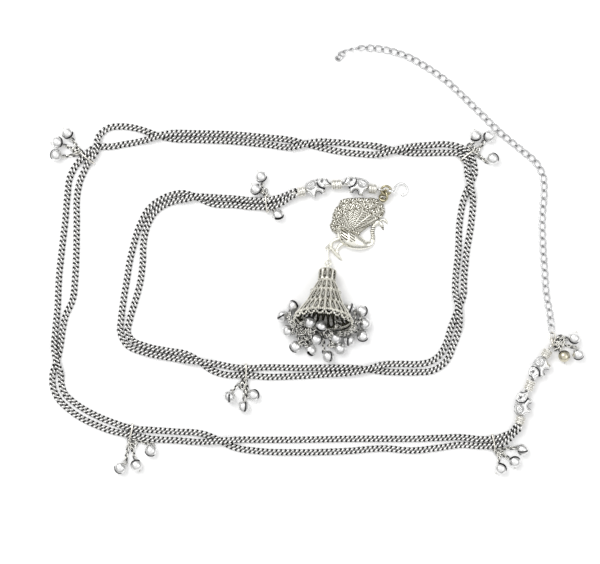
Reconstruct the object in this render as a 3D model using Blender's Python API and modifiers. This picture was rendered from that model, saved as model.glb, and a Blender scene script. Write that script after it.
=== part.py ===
"""A waist chain of oxidised white metal, laid flat in a square inward spiral.

Two curb chains run side by side and change places eleven times.  They join two wires
that carry elephant and barrel beads.  Groups of three small bells hang from rings
round both chains.  A fish hook, a cast peacock and a pierced bell drop hang at one end,
and a single open-link chain that the hook fastens into is at the other.

Lengths are metres, +Z is up, the part lies on z = 0 and its middle is over the origin.
"""
import math

import bmesh
import bpy
import numpy as np
from mathutils import Matrix, Vector
from numpy.lib.stride_tricks import sliding_window_view

MM = 0.001

# The lay-out plan: one unit of the plan on the real piece, and the plan's middle point.
PLAN_UNIT = 0.48 * MM
PLAN_MIDDLE = (317.2, 259.6)

# Clearance between two pieces that touch.
GAP = 0.3 * MM

# Chains
STRAND_WIDTH = 2.8 * MM
EXTENDER_WIDTH = 3.0 * MM
CHORD_ERROR = 0.45 * MM
SHORT_STEP = 4.3 * MM
LONG_STEP = 20.0 * MM
HUMP_EASE = 2.6 * MM
RING_EASE = 10.0 * MM

# Wires and rings
RING_WIRE = 0.8 * MM
RING_SPREAD = 1.22
RING_LEAN = math.radians(45)
PEACOCK_RING_LEAN = math.radians(48)
KNOT_RISE = 0.4 * MM
EYE_RADIUS = 1.5 * MM
KNOT_RADIUS = 2.2 * MM
BEAD_WIRE = 0.8 * MM

# Beads
SPACER_DIAMETER = 4.6 * MM
SPACER_LENGTH = 3.4 * MM
MIDDLE_LENGTH = 4.6 * MM
ELEPHANT_LENGTH = 12.7 * MM
ELEPHANT_HEIGHT = 9.0 * MM
ELEPHANT_THICKNESS = 5.6 * MM

# Small bells and the short chains that they hang on
BELL_DIAMETER = 5.7 * MM
DROP_CHAIN_WIDTH = 1.5 * MM
SHANK_DIP = math.radians(20)
FAN_STEP = math.radians(32)

# Hook
HOOK_WIRE = 1.2 * MM
HOOK_EYE_RADIUS = 1.45 * MM

# Peacock
FAN_THICKNESS = 1.8 * MM
FEATHER_RISE = 0.5 * MM
PEACOCK_EDGE = 0.3 * MM
HANGING_EYELET_RADIUS = 1.6 * MM
HANGING_EYELET_HEIGHT = 1.3 * MM
FOOT_EYELET_RADIUS = 1.15 * MM
FOOT_EYELET_HEIGHT = 1.5 * MM
LEG_WIDTH = 1.5 * MM
BODY_FLATTEN = 0.72

# Link and ring between the peacock and the bell drop
PENDANT_WIRE = 0.7 * MM
LINK_LENGTH = 6.8 * MM
LINK_WIDTH = 2.9 * MM
DROP_RING_RADIUS = 1.4 * MM

# Pierced bell drop
DROP_LENGTH = 26.4 * MM
DROP_RIM_RADIUS = 14.0 * MM
DROP_WALL = 0.9 * MM
DROP_EYELET_RADIUS = 1.25 * MM
DROP_HEADING = math.radians(-95.4)
SCALLOP = 0.7 * MM
RIM_WIRE = 0.9 * MM

# Facets
ROUND_SIDES = 10
WIRE_SIDES = 5
WINDOWS = 10

# Plan of the pair of chains, from the first bead wire to the second.  The rows are hand
# chosen: across, down, and the spread, half the distance between the two chains in units
# of half their touching distance.  It changes sign where they change places.
PAIR_ROUTE = [
    (290, 195.5, 0.0), (283, 199.2, 0.6), (276, 202.0, 1.05), (266.5, 203.7, 1.02), (253, 203.7, 1.0),
    (235, 202.0, 1.0), (212, 200.5, 1.0), (196, 197.0, 0.0), (184, 196.6, -1.0),
    (172, 198.4, -1.05), (161, 203.2, -1.0), (152, 210.5, -1.05), (145.8, 220.5, -1.05),
    (141, 233.5, -1.25), (138.3, 247, -1.55), (136.4, 261, -2.0), (133.6, 281, -2.1),
    (129.5, 300, -1.8), (125.6, 319, -1.35), (124.2, 332.5, -1.1), (128.8, 341.5, -1.1),
    (147, 349.7, -1.0), (167, 353.8, -1.0), (187, 357.4, -0.95), (200, 361.5, 0.0),
    (212, 366.5, 1.1), (228, 370.6, 1.35), (245.8, 371.6, 1.02), (263, 372.0, 1.45),
    (298, 371.9, 1.25), (329, 370.8, 1.0), (350, 370.2, 0.75), (367, 369.2, 0.0),
    (382, 368.0, -1.05), (400, 368.0, -1.3), (417, 368.1, -1.25), (431, 366.2, -1.4),
    (442.3, 358.6, -1.35), (449.6, 344.5, -1.15), (454.6, 329, -1.25), (458.5, 308, 0.0),
    (459.3, 295, 1.2), (459.6, 280, 1.3), (462.0, 255, 1.25), (465.6, 220, 1.8),
    (468.4, 198.5, 1.35), (469.8, 184, 0.0), (470.8, 172, -1.2), (470.3, 164, -1.05),
    (466.8, 155.8, -1.0), (459.4, 150.6, -1.03), (446, 148.6, -1.3), (430, 149.0, -1.25),
    (410, 150.0, -0.95), (394, 150.5, 0.0), (380, 150.6, 1.15), (357, 149.0, 1.45),
    (332, 146.2, 1.25), (318, 144.5, 0.8), (306, 144.0, 0.0), (294, 144.0, -1.0),
    (268, 141.2, -1.1), (230, 137.8, -1.05), (191, 136.6, -1.0), (172, 136.1, -0.85),
    (159, 136.0, 0.0), (147, 135.8, 1.3), (134, 135.4, 2.3), (122, 135.6, 2.8),
    (111, 137.4, 2.9), (102.5, 142.0, 1.9), (98, 146.6, 0.4), (94, 151.0, -0.8), (87.4, 158.2, -1.02),
    (81.0, 167.0, -1.5), (75.5, 178, -1.65), (72.4, 195, -1.5), (71.0, 222, -1.8),
    (69.2, 250, -2.25), (66.9, 281, -2.5), (65.6, 298, -2.3), (61.6, 314, -1.4),
    (59, 331, -1.1), (57.4, 347, -0.9), (57, 361, 0.0), (56.9, 374, 1.25),
    (57.3, 385, 1.35), (61.2, 395.4, 1.3), (70.4, 404.8, 1.35), (82, 413, 1.4),
    (97, 420.6, 1.35), (113.5, 427, 1.3), (131, 431.4, 1.02), (151, 434.2, 1.35),
    (176, 435.9, 1.35), (204, 438.0, 1.2), (220, 440.5, 0.0), (235, 443.4, -1.2),
    (256, 445.2, -1.7), (300, 445.9, -1.95), (345, 444.9, -1.9), (386, 443.5, -1.5),
    (412, 444.6, -1.8), (436, 443.0, -1.55), (462, 441.0, -1.15), (481, 442.6, -1.05),
    (493, 442.2, -1.02), (504, 438.8, -0.95), (512.5, 432.6, -0.3),
]

# Plan of the single chain from the joint ring to its free end.
EXTENDER_ROUTE = [
    (549.7, 314.5), (545.8, 291.6), (544.9, 277.4), (542.4, 239), (542.2, 215),
    (543.9, 191.3), (542.8, 176), (537.2, 164.5), (520, 149.2), (500.9, 133.4),
    (481.7, 114.8), (462.6, 96.2), (445.4, 80.4), (424.4, 66), (405.2, 55.7),
    (386.1, 50.1), (367, 48.0), (352, 49.4), (343.5, 52.6), (338.3, 58.0),
]

# Bell groups: the ring's place on the plan, and the places of its three bells.
BELL_GROUPS = {
    "bell_group_1": ((266.5, 203.7), ((261.1, 176.9), (255.6, 189.3), (277.9, 215.2))),
    "bell_group_2": ((245.8, 371.6), ((229.6, 396.2), (243.9, 406.4), (253.9, 394.6))),
    "bell_group_3": ((466.8, 155.8), ((475.1, 136.2), (488.4, 136.6), (492.6, 158.8))),
    "bell_group_4": ((87.4, 158.2), ((67.9, 133.5), (57.9, 142.5), (56.4, 155.2))),
    "bell_group_5": ((131, 431.4), ((151.1, 450.4), (136.8, 464.7), (120.5, 467.6))),
    "bell_group_6": ((493, 442.2), ((521.9, 449.4), (514.3, 461.2), (500.4, 468.2))),
}
JOINT_BELLS = ((573.6, 338.1), (577.6, 354.2), (563.6, 356.0))

# Bead wires: the middle bead on the plan, and the headings of the two arms in degrees.
# The feet of both elephants point to the side given by the third angle.
FIRST_WIRE = {"middle": (336.6, 184.7), "arms": (191.7, -6.9), "feet": 270}
SECOND_WIRE = {"middle": (529.1, 385.2), "arms": (254.8, 62.3), "feet": -20}

# The elephant's side view, nose to the right, as shares of its length and height.
ELEPHANT_OUTLINE = [
    (-0.50, 0.10), (-0.43, 0.33), (-0.25, 0.44), (0.00, 0.42), (0.17, 0.50),
    (0.30, 0.45), (0.42, 0.30), (0.50, 0.13), (0.48, -0.04), (0.24, -0.09),
    (0.22, -0.40), (0.06, -0.42), (0.02, -0.28), (-0.06, -0.23), (-0.13, -0.30),
    (-0.16, -0.49), (-0.33, -0.50), (-0.35, -0.27), (-0.45, -0.18), (-0.50, -0.03),
]
EAR_OUTLINE = [
    (-0.05, 0.40), (0.04, 0.42), (0.10, 0.28), (0.20, 0.12), (0.26, -0.02),
    (0.14, -0.06), (0.01, 0.02), (-0.06, 0.20),
]
CLOTH_OUTLINE = [
    (-0.40, 0.28), (-0.32, 0.36), (-0.16, 0.36), (-0.09, 0.28), (-0.09, 0.02),
    (-0.16, -0.07), (-0.32, -0.07), (-0.40, 0.02),
]

# The peacock on the plan: the fan's edge, its feathers, the body with its half widths,
# and the legs.
FAN_EDGE = [
    (338.6, 235.6), (331.8, 231.0), (329.6, 225.6), (332.4, 220.4), (332.6, 214.6),
    (335.2, 208.4), (338.6, 205.6), (340.2, 200.8), (345.4, 198.6), (352.4, 198.2),
    (359.6, 197.8), (366.6, 198.4), (372.2, 197.6), (378.2, 199.8), (383.2, 204.8),
    (384.8, 211.8), (382.6, 216.8), (378.6, 219.0), (375.8, 222.8), (370.4, 225.6),
    (362.0, 231.6), (357.0, 237.0), (347.0, 239.0),
]
FEATHER_ROOT = (350.0, 231.0)
FEATHER_TIPS = [
    (334.4, 225.0), (336.4, 213.4), (341.6, 205.2), (350.6, 201.4), (360.4, 201.2),
    (370.0, 202.6), (378.6, 208.6), (379.4, 215.6),
]
FEATHER_WIDTH = 2.3 * MM
PEACOCK_BODY = [
    (340.4, 231.6, 2.0), (345.4, 236.6, 3.5), (352.0, 240.4, 4.0), (359.4, 243.6, 3.1),
    (366.0, 244.9, 1.9), (371.4, 243.0, 1.15), (372.9, 238.0, 0.9), (372.4, 231.0, 0.9),
    (374.2, 225.4, 0.95), (378.4, 222.4, 1.25), (380.8, 224.2, 0.95), (383.2, 229.6, 0.3),
]
PEACOCK_LEGS = {
    "near_leg": [(345.5, 243.0), (339.8, 246.4), (337.4, 250.4), (336.3, 254.3)],
    "far_leg": [(341.6, 238.0), (335.6, 239.9), (331.6, 243.0), (330.0, 248.4)],
    "foot": [(330.2, 248.6), (336.2, 254.2), (341.0, 259.6)],
}
CREST = [(378.2, 223.4), (382.0, 220.4), (385.6, 220.8)]
CREST_WIDTH = 1.0 * MM
HANGING_EYELET = (382.9, 199.9)
FOOT_EYELET = (328.0, 247.4)

# The hook on the plan, from its eye to its tip.
HOOK_ROUTE = [
    (394.3, 188.4), (397.0, 185.2), (401.2, 183.5), (405.3, 185.3), (407.2, 189.3),
    (405.7, 193.2), (402.2, 195.2),
]
HOOK_HEADING = math.radians(-10)

# Profile of the bell drop from its closed top to its rim: shares of its length and of the
# rim's radius, and 1 where the band below the row is cut into windows.
DROP_PROFILE = [
    (0.000, 0.13, 0), (0.030, 0.25, 0), (0.075, 0.27, 1), (0.225, 0.27, 0),
    (0.265, 0.25, 0), (0.310, 0.31, 1), (0.440, 0.43, 0), (0.480, 0.44, 0),
    (0.530, 0.47, 1), (0.700, 0.62, 0), (0.750, 0.68, 1), (0.930, 0.90, 0), (1.000, 1.00, 0),
]

# Bells on the drop's rim: the angle round the rim from its top, clockwise as seen from
# the mouth, the bell's place on the plan, and its height in bell diameters.  The places
# are for a rim of the drawn radius, and move out or in with the rim.
RIM_DRAWN_RADIUS = 14.0 * MM
RIM_BELLS = [
    (-96, 293.1, 305.9, 0.5), (-104, 282.6, 315.7, 0.5), (-113, 287.5, 330.5, 0.5),
    (-124, 295.2, 346.6, 0.5), (-140, 310.7, 350.1, 0.5), (-156, 316.3, 339.2, 0.5),
    (178, 328.2, 356.2, 0.5), (158, 340.2, 348.6, 0.5), (166, 336.0, 337.8, 0.5),
    (142, 348.9, 339.8, 0.5), (126, 362.6, 336.1, 0.5), (115, 364.9, 323.6, 0.5),
    (104, 361.9, 310.9, 0.5), (94, 349.3, 308.6, 0.5), (-150, 309.3, 321.6, 1.22),
    (176, 321.0, 326.0, 1.0),
]

parts = None
materials = {}


def plan(across, down, height=0.0):
    """The point of the part over a place on the lay-out plan."""
    x = (across - PLAN_MIDDLE[0]) * PLAN_UNIT
    y = (PLAN_MIDDLE[1] - down) * PLAN_UNIT
    return Vector((x, y, height))


def heading(angle):
    """The level direction at an angle from +X."""
    return Vector((math.cos(angle), math.sin(angle), 0.0))


def side_of(direction):
    """The level direction to the left of a direction."""
    return Vector((-direction.y, direction.x, 0.0)).normalized()


def make_material(name, colour, roughness):
    """A metal of one colour."""
    material = bpy.data.materials.new(name)
    material.use_nodes = True
    shader = material.node_tree.nodes["Principled BSDF"]
    shader.inputs["Base Color"].default_value = (*colour, 1.0)
    shader.inputs["Roughness"].default_value = roughness
    shader.inputs["Metallic"].default_value = 1.0
    materials[name] = material


def finish(thing, name, material):
    """Name a piece, give it its metal and round shading, and put it with the parts."""
    thing.name = name
    thing.data.name = name
    thing.data.materials.clear()
    thing.data.materials.append(materials[material])
    for collection in list(thing.users_collection):
        collection.objects.unlink(thing)
    parts.objects.link(thing)
    thing.data.shade_smooth()
    thing.data.set_sharp_from_angle(angle=math.radians(35))
    return thing


def meshed(thing):
    """The piece with its modifiers or curve made a welded mesh in the same place."""
    bpy.context.view_layer.update()
    graph = bpy.context.evaluated_depsgraph_get()
    mesh = bpy.data.meshes.new_from_object(thing.evaluated_get(graph))
    shape = bmesh.new()
    shape.from_mesh(mesh)
    bmesh.ops.remove_doubles(shape, verts=shape.verts, dist=0.002 * MM)
    shape.to_mesh(mesh)
    shape.free()
    solid = bpy.data.objects.new(thing.name, mesh)
    bpy.context.scene.collection.objects.link(solid)
    solid.matrix_world = thing.matrix_world.copy()
    bpy.data.objects.remove(thing)
    return solid


def combine(base, others, operation):
    """The base joined with, or cut by, other pieces, which are used up."""
    for other in others:
        step = base.modifiers.new("combine", "BOOLEAN")
        step.operation = operation
        step.object = other
    solid = meshed(base)
    for other in others:
        bpy.data.objects.remove(other)
    return solid


def tube(points, width, resolution=2, radii=None, closed=False):
    """A round wire through points, as a mesh."""
    curve = bpy.data.curves.new("wire", "CURVE")
    curve.dimensions = "3D"
    curve.bevel_depth = width / 2
    curve.bevel_resolution = resolution
    curve.use_fill_caps = not closed
    spline = curve.splines.new("POLY")
    spline.points.add(len(points) - 1)
    spline.use_cyclic_u = closed
    for index, point in enumerate(points):
        spline.points[index].co = (*point, 1.0)
        spline.points[index].radius = radii[index] if radii else 1.0
    thing = bpy.data.objects.new("wire", curve)
    bpy.context.scene.collection.objects.link(thing)
    return meshed(thing)


def plate(outline, thickness, edge):
    """A flat plate with softened edges, centred on z = 0."""
    curve = bpy.data.curves.new("plate", "CURVE")
    curve.dimensions = "2D"
    curve.fill_mode = "BOTH"
    curve.extrude = thickness / 2 - edge
    curve.bevel_depth = edge
    curve.bevel_resolution = 0
    curve.offset = -edge
    spline = curve.splines.new("POLY")
    spline.points.add(len(outline) - 1)
    spline.use_cyclic_u = True
    for index, (x, y) in enumerate(outline):
        spline.points[index].co = (x, y, 0.0, 1.0)
    thing = bpy.data.objects.new("plate", curve)
    bpy.context.scene.collection.objects.link(thing)
    return meshed(thing)


def ring(centre, normal, radius, wire, sides=ROUND_SIDES):
    """A round ring of wire."""
    bpy.ops.mesh.primitive_torus_add(
        major_radius=radius, minor_radius=wire / 2, major_segments=sides, minor_segments=WIRE_SIDES)
    thing = bpy.context.object
    thing.matrix_world = Matrix.Translation(centre) @ normal.to_track_quat("Z", "Y").to_matrix().to_4x4()
    return thing


def ball(centre, radius, sides=ROUND_SIDES, rows=4):
    """A faceted ball."""
    mesh = bpy.data.meshes.new("ball")
    form = bmesh.new()
    bmesh.ops.create_uvsphere(form, u_segments=sides, v_segments=rows, radius=radius)
    form.to_mesh(mesh)
    form.free()
    thing = bpy.data.objects.new("ball", mesh)
    bpy.context.scene.collection.objects.link(thing)
    thing.location = centre
    return thing


def cut_flat(thing, height):
    """The part of a mesh above a level, closed by a flat face."""
    form = bmesh.new()
    form.from_mesh(thing.data)
    everything = form.verts[:] + form.edges[:] + form.faces[:]
    bmesh.ops.bisect_plane(form, geom=everything, plane_co=(0, 0, height), plane_no=(0, 0, 1), clear_inner=True)
    bmesh.ops.holes_fill(form, edges=[edge for edge in form.edges if edge.is_boundary])
    bmesh.ops.recalc_face_normals(form, faces=form.faces)
    form.to_mesh(thing.data)
    form.free()
    return thing


def turned(profile, sides):
    """A solid turned about Z from a closed profile of radius and height, outer side first."""
    mesh = bpy.data.meshes.new("turned")
    edges = [(index, (index + 1) % len(profile)) for index in range(len(profile))]
    mesh.from_pydata([(radius, 0.0, height) for radius, height in profile], edges, [])
    thing = bpy.data.objects.new("turned", mesh)
    bpy.context.scene.collection.objects.link(thing)
    step = thing.modifiers.new("turn", "SCREW")
    step.steps = sides
    step.render_steps = sides
    step.use_merge_vertices = True
    step.merge_threshold = 0.00001
    return meshed(thing)


def smooth_rows(rows, step):
    """Rows at even steps along a smooth curve through the given rows of x, y and more."""
    rows = np.asarray(rows, dtype=float)
    chords = np.hypot(*np.diff(rows[:, :2], axis=0).T)
    at = np.concatenate(([0.0], np.cumsum(chords)))
    slope = np.gradient(rows, at, axis=0)
    fine = np.linspace(0.0, at[-1], int(at[-1] / step) + 2)
    low = np.clip(np.searchsorted(at, fine, side="right") - 1, 0, len(at) - 2)
    span = (at[low + 1] - at[low])[:, None]
    share = (fine - at[low])[:, None] / span
    back = 1.0 - share
    return (rows[low] * (1 + 2 * share) * back ** 2 + slope[low] * span * share * back ** 2
            + rows[low + 1] * share ** 2 * (3 - 2 * share) - slope[low + 1] * span * share ** 2 * back)


def distance_along(points):
    """Distance of each point along the line through them."""
    return np.concatenate(([0.0], np.cumsum(np.linalg.norm(np.diff(points, axis=0), axis=1))))


def eased(heights, reach, step):
    """Heights spread to both sides by a reach and rounded off, nowhere lower than before."""
    half = max(1, int(reach / step))
    padded = np.pad(heights, 2 * half, mode="edge")
    widest = sliding_window_view(padded, 2 * half + 1).max(axis=-1)
    return sliding_window_view(widest, 2 * half + 1).mean(axis=-1)


def nearest_index(line, place):
    """The point of a level line that is nearest to a place on the plan."""
    return int(np.linalg.norm(line - np.array(plan(*place).xy), axis=1).argmin())


def few_points(lines, kept=()):
    """Places along parallel lines, close together where any of them bends."""
    along = distance_along(lines[0])
    bend = np.zeros(len(along))
    for line in lines:
        second = np.gradient(np.gradient(line, along, axis=0), along, axis=0)
        bend = np.maximum(bend, np.linalg.norm(second, axis=1))
    step = np.clip(np.sqrt(8 * CHORD_ERROR / np.maximum(bend, 1.0)), SHORT_STEP, LONG_STEP)
    count = np.concatenate(([0.0], np.cumsum(np.diff(along) / (0.5 * (step[1:] + step[:-1])))))
    wanted = np.linspace(0.0, count[-1], int(round(count[-1])) + 1)
    picked = np.round(np.interp(wanted, count, np.arange(len(along)))).astype(int)
    for index in kept:
        picked[np.abs(picked - index).argmin()] = index
    return picked


def pair_of_chains(start, end):
    """Centre lines of the two chains and of the pair, with the pair's distance along.

    The pair's middle follows the plan.  The chains stand off to its two sides by the
    spread.  Where they come closer than they can lie side by side, one rises over the
    other, by the height that keeps them apart.
    """
    rows = [(*plan(across, down).xy, spread) for across, down, spread in PAIR_ROUTE]
    rows = [(*start.xy, 0.0)] + rows + [(*end.xy, 0.0)]
    step = 0.25 * MM
    fine = smooth_rows(rows, step)
    middle = fine[:, :2]
    along = distance_along(middle)
    forward = np.gradient(middle, along, axis=0)
    forward /= np.linalg.norm(forward, axis=1)[:, None]
    left = np.stack((-forward[:, 1], forward[:, 0]), axis=1)
    touch = STRAND_WIDTH + GAP
    offset = fine[:, 2] * touch / 2
    slope = np.gradient(offset, along)
    apart = 2 * np.abs(offset) / np.sqrt(1 + slope ** 2)
    over = touch + GAP / 2
    rise = eased(np.sqrt(np.maximum(over ** 2 - apart ** 2, 0.0)) * (apart < touch), HUMP_EASE, step)

    changes = np.nonzero(np.diff(np.sign(fine[:, 2])) != 0)[0]
    crossings = np.concatenate(([0.0], along[changes], [along[-1]]))
    crossings = crossings[np.concatenate(([True], np.diff(crossings) > 4 * touch))]
    nearest = np.abs(along[:, None] - crossings[None, :]).argmin(axis=1)
    first_over = nearest % 2 == 0

    lift = np.zeros(len(along))
    for place, _ in BELL_GROUPS.values():
        far = np.abs(along - along[nearest_index(middle, place)])
        lift += ring_lift() * 0.5 * (1 + np.cos(np.pi * np.minimum(far / RING_EASE, 1.0)))

    low = STRAND_WIDTH / 2 + lift
    first = np.column_stack((middle + left * offset[:, None], low + np.where(first_over, rise, 0.0)))
    second = np.column_stack((middle - left * offset[:, None], low + np.where(first_over, 0.0, rise)))
    return first, second, middle, forward


def group_ring_radius():
    """Radius of a bell group's ring, which leans and holds both chains side by side."""
    reach = RING_SPREAD * (STRAND_WIDTH + GAP) / 2
    return (reach + STRAND_WIDTH / 2 + GAP + RING_WIRE / 2) / math.cos(math.pi / ROUND_SIDES)


def ring_lift():
    """How far the chains are raised where a ring passes under them."""
    middle = RING_WIRE / 2 + group_ring_radius() * math.cos(RING_LEAN)
    return middle - STRAND_WIDTH / 2


def clear_of(radius, outward, toward):
    """How far from a ring's middle a short chain starts, to clear the ring's wire."""
    skew = math.sqrt(max(0.0, 1 - outward.dot(toward.normalized()) ** 2))
    return radius + RING_WIRE / 2 + GAP + skew * DROP_CHAIN_WIDTH / 2


def bell_drop(name, start, place, material="bell_metal"):
    """A small bell and the short chain that it hangs on, lying on the ground."""
    radius = BELL_DIAMETER / 2
    centre = Vector((place.x, place.y, radius))
    level = (start - centre)
    level.z = 0.0
    toward = level.normalized()
    shank = (toward * math.cos(SHANK_DIP) - Vector((0, 0, math.sin(SHANK_DIP)))) * radius
    end = centre + shank * 0.9
    edge = centre + shank * 1.25
    low = DROP_CHAIN_WIDTH / 2
    points = [start, end]
    run = (start - edge)
    if math.hypot(run.x, run.y) > 2.5 * DROP_CHAIN_WIDTH:
        middle = start.lerp(edge, 0.55)
        middle.z = max(low, 0.5 * (start.z + edge.z) - 0.2 * math.hypot(run.x, run.y))
        points = [start, middle, end]
    chain = tube(points, DROP_CHAIN_WIDTH, resolution=1)
    solid = combine(ball(centre, radius), [chain], "UNION")
    return finish(solid, name, material)


def build_bell_groups(middle, forward):
    """Six rings round both chains, each with three bells."""
    radius = group_ring_radius()
    for name, (place, bells) in BELL_GROUPS.items():
        index = nearest_index(middle, place)
        ahead = Vector((*forward[index], 0.0))
        left = side_of(ahead)
        up = Vector((0, 0, math.cos(RING_LEAN))) + ahead * math.sin(RING_LEAN)
        centre = Vector((*middle[index], RING_WIRE / 2 + radius * math.cos(RING_LEAN)))
        loop = ring(centre, left.cross(up), radius, RING_WIRE)
        finish(loop, name + "_ring", "ring_metal")
        sides = {1: [], -1: []}
        for number, bell in enumerate(bells, 1):
            point = plan(*bell)
            away = (point - centre).dot(left)
            sides[1 if away > 0 else -1].append(((point - centre).dot(ahead), number, point))
        for side, group in sides.items():
            group.sort()
            for order, (_, number, point) in enumerate(group):
                angle = (order - (len(group) - 1) / 2) * FAN_STEP
                outward = left * side * math.cos(angle) + up * math.sin(angle)
                start = centre + outward * clear_of(radius, outward, point - centre)
                bell_drop(f"{name}_bell_{number}", start, point)


def outline_on(shares, length, height):
    """An outline of shares made real."""
    return [(x * length, y * height) for x, y in shares]


def elephant(name, centre, forward, feet, bore):
    """An elephant bead on its side, bored from tail to trunk."""
    along, tall, thick = ELEPHANT_LENGTH, ELEPHANT_HEIGHT, ELEPHANT_THICKNESS
    body = plate(outline_on(ELEPHANT_OUTLINE, along, tall), thick * 0.86, 0.8 * MM)
    raised = [plate(outline_on(shape, along, tall), thick, 0.0) for shape in (EAR_OUTLINE, CLOTH_OUTLINE)]
    solid = combine(body, raised, "UNION")
    drill = tube([(-along, 0, 0), (along, 0, 0)], bore, resolution=1)
    solid = combine(solid, [drill], "DIFFERENCE")
    up = side_of(forward)
    if up.dot(feet) > 0:
        up = -up
    turn = Matrix((forward, up, forward.cross(up))).transposed().to_4x4()
    solid.matrix_world = Matrix.Translation(centre) @ turn
    return finish(solid, name, "elephant_metal")


def barrel_bead(name, centre, direction, length, bore):
    """A ribbed barrel bead with a hole along its axis."""
    half, wide, hole = length / 2, SPACER_DIAMETER / 2, bore / 2
    profile = [(hole, half), (wide * 0.80, half), (wide, half * 0.55),
               (wide, -half * 0.55), (wide * 0.80, -half), (hole, -half)]
    solid = turned(profile, ROUND_SIDES)
    solid.matrix_world = Matrix.Translation(centre) @ direction.to_track_quat("Z", "Y").to_matrix().to_4x4()
    return finish(solid, name, "bead_metal")


def bead_wire(tag, spec):
    """A wire with an eye at each end, through five beads.  Gives the eyes' outer points."""
    height = ELEPHANT_THICKNESS / 2
    middle = plan(*spec["middle"], height)
    arms = [heading(math.radians(angle)) for angle in spec["arms"]]
    feet = heading(math.radians(spec["feet"]))
    bore = BEAD_WIRE + 2 * GAP
    bend = math.acos(max(-1.0, min(1.0, -arms[0].dot(arms[1])))) / 2
    middle_bore = bore + MIDDLE_LENGTH * math.tan(bend)
    across = (arms[1] - arms[0]).normalized()
    barrel_bead(f"{tag}_middle_bead", middle, across, MIDDLE_LENGTH, middle_bore)
    elephant_at = MIDDLE_LENGTH / 2 + GAP + ELEPHANT_LENGTH / 2
    spacer_at = elephant_at + ELEPHANT_LENGTH / 2 + GAP + SPACER_LENGTH / 2
    eye_at = spacer_at + SPACER_LENGTH / 2 + GAP + BEAD_WIRE / 2 + EYE_RADIUS
    rod = tube([middle + arms[0] * (eye_at - EYE_RADIUS), middle, middle + arms[1] * (eye_at - EYE_RADIUS)],
               BEAD_WIRE, resolution=1)
    eyes = []
    for number, arm in enumerate(arms, 1):
        elephant(f"{tag}_elephant_{number}", middle + arm * elephant_at, -arm, feet, bore)
        barrel_bead(f"{tag}_end_bead_{number}", middle + arm * spacer_at, arm, SPACER_LENGTH, bore)
        eyes.append(ring(middle + arm * eye_at, side_of(arm), EYE_RADIUS, BEAD_WIRE))
    solid = combine(rod, eyes, "UNION")
    finish(solid, f"{tag}_wire", "ring_metal")
    return [middle + arm * (eye_at + EYE_RADIUS) for arm in arms], arms


def linked(held, direction, radius, wire, other_wire):
    """Middle of a ring that goes through another piece and holds its wire at a point."""
    return held + direction * (radius - (wire + other_wire) / 2 - GAP)


def build_hook(centre, direction):
    """The fish hook: a turned eye and one round bend that ends in a blunt tip."""
    eye = ring(centre, side_of(direction), HOOK_EYE_RADIUS, HOOK_WIRE)
    low = HOOK_WIRE / 2
    first = centre + direction * HOOK_EYE_RADIUS
    points = [first]
    for number, place in enumerate(HOOK_ROUTE, 1):
        share = number / len(HOOK_ROUTE)
        points.append(plan(*place, low + (centre.z - low) * max(0.0, 1 - 2 * share)))
    fine = smooth_rows([tuple(point) for point in points], 2.0 * MM)
    shaft = tube([tuple(point) for point in fine], HOOK_WIRE, resolution=2)
    tip = ball(Vector(fine[-1]), HOOK_WIRE * 0.62)
    tip.location.z = HOOK_WIRE * 0.62
    finish(combine(eye, [shaft, tip], "UNION"), "hook", "hook_metal")


def feather(root, tip, rise):
    """A leaf-shaped ridge from the fan's root to one tip."""
    run = tip - root
    side = side_of(run) * FEATHER_WIDTH / 2
    shape = [root + run * 0.30, root + run * 0.55 + side * 0.8, root + run * 0.85 + side,
             tip, root + run * 0.85 - side, root + run * 0.55 - side * 0.8]
    solid = plate([tuple(point.xy) for point in reversed(shape)], FEATHER_RISE * 2, 0.0)
    solid.location.z = FAN_THICKNESS + rise
    return solid


def build_peacock():
    """The cast peacock: fan tail with raised feathers, round body, neck, head and legs."""
    edge = [tuple(plan(*place).xy) for place in FAN_EDGE]
    fan = plate(edge, FAN_THICKNESS, PEACOCK_EDGE)
    fan.location.z = FAN_THICKNESS / 2
    root = plan(*FEATHER_ROOT)
    feathers = [feather(root, plan(*tip), -0.12 * MM * (number % 2)) for number, tip in enumerate(FEATHER_TIPS)]
    rows = [(*plan(across, down).xy, half * MM) for across, down, half in PEACOCK_BODY]
    fine = smooth_rows(rows, 2.8 * MM)
    widest = fine[:, 2].max()
    body = tube([(x, y, half) for x, y, half in fine], 2 * widest, resolution=2,
                radii=[half / widest for half in fine[:, 2]])
    body.data.transform(Matrix.Diagonal((1, 1, BODY_FLATTEN, 1)))
    extras = [cut_flat(body, 0.05 * MM)]
    for number, limb in enumerate(PEACOCK_LEGS.values(), 1):
        middle = LEG_WIDTH / 2 + number * 0.06 * MM
        extras.append(tube([tuple(plan(*place, middle)) for place in limb], LEG_WIDTH, resolution=1))
    crest = [tuple(plan(*place, CREST_WIDTH)) for place in CREST]
    extras.append(tube(crest, CREST_WIDTH, resolution=1))
    level = Vector((0, 0, 1))
    extras.append(ring(plan(*HANGING_EYELET, HANGING_EYELET_HEIGHT), level, HANGING_EYELET_RADIUS, PENDANT_WIRE))
    extras.append(ring(plan(*FOOT_EYELET, FOOT_EYELET_HEIGHT), level, FOOT_EYELET_RADIUS, PENDANT_WIRE))
    solid = combine(fan, feathers + extras, "UNION")
    finish(solid, "peacock", "antique_metal")


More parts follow.
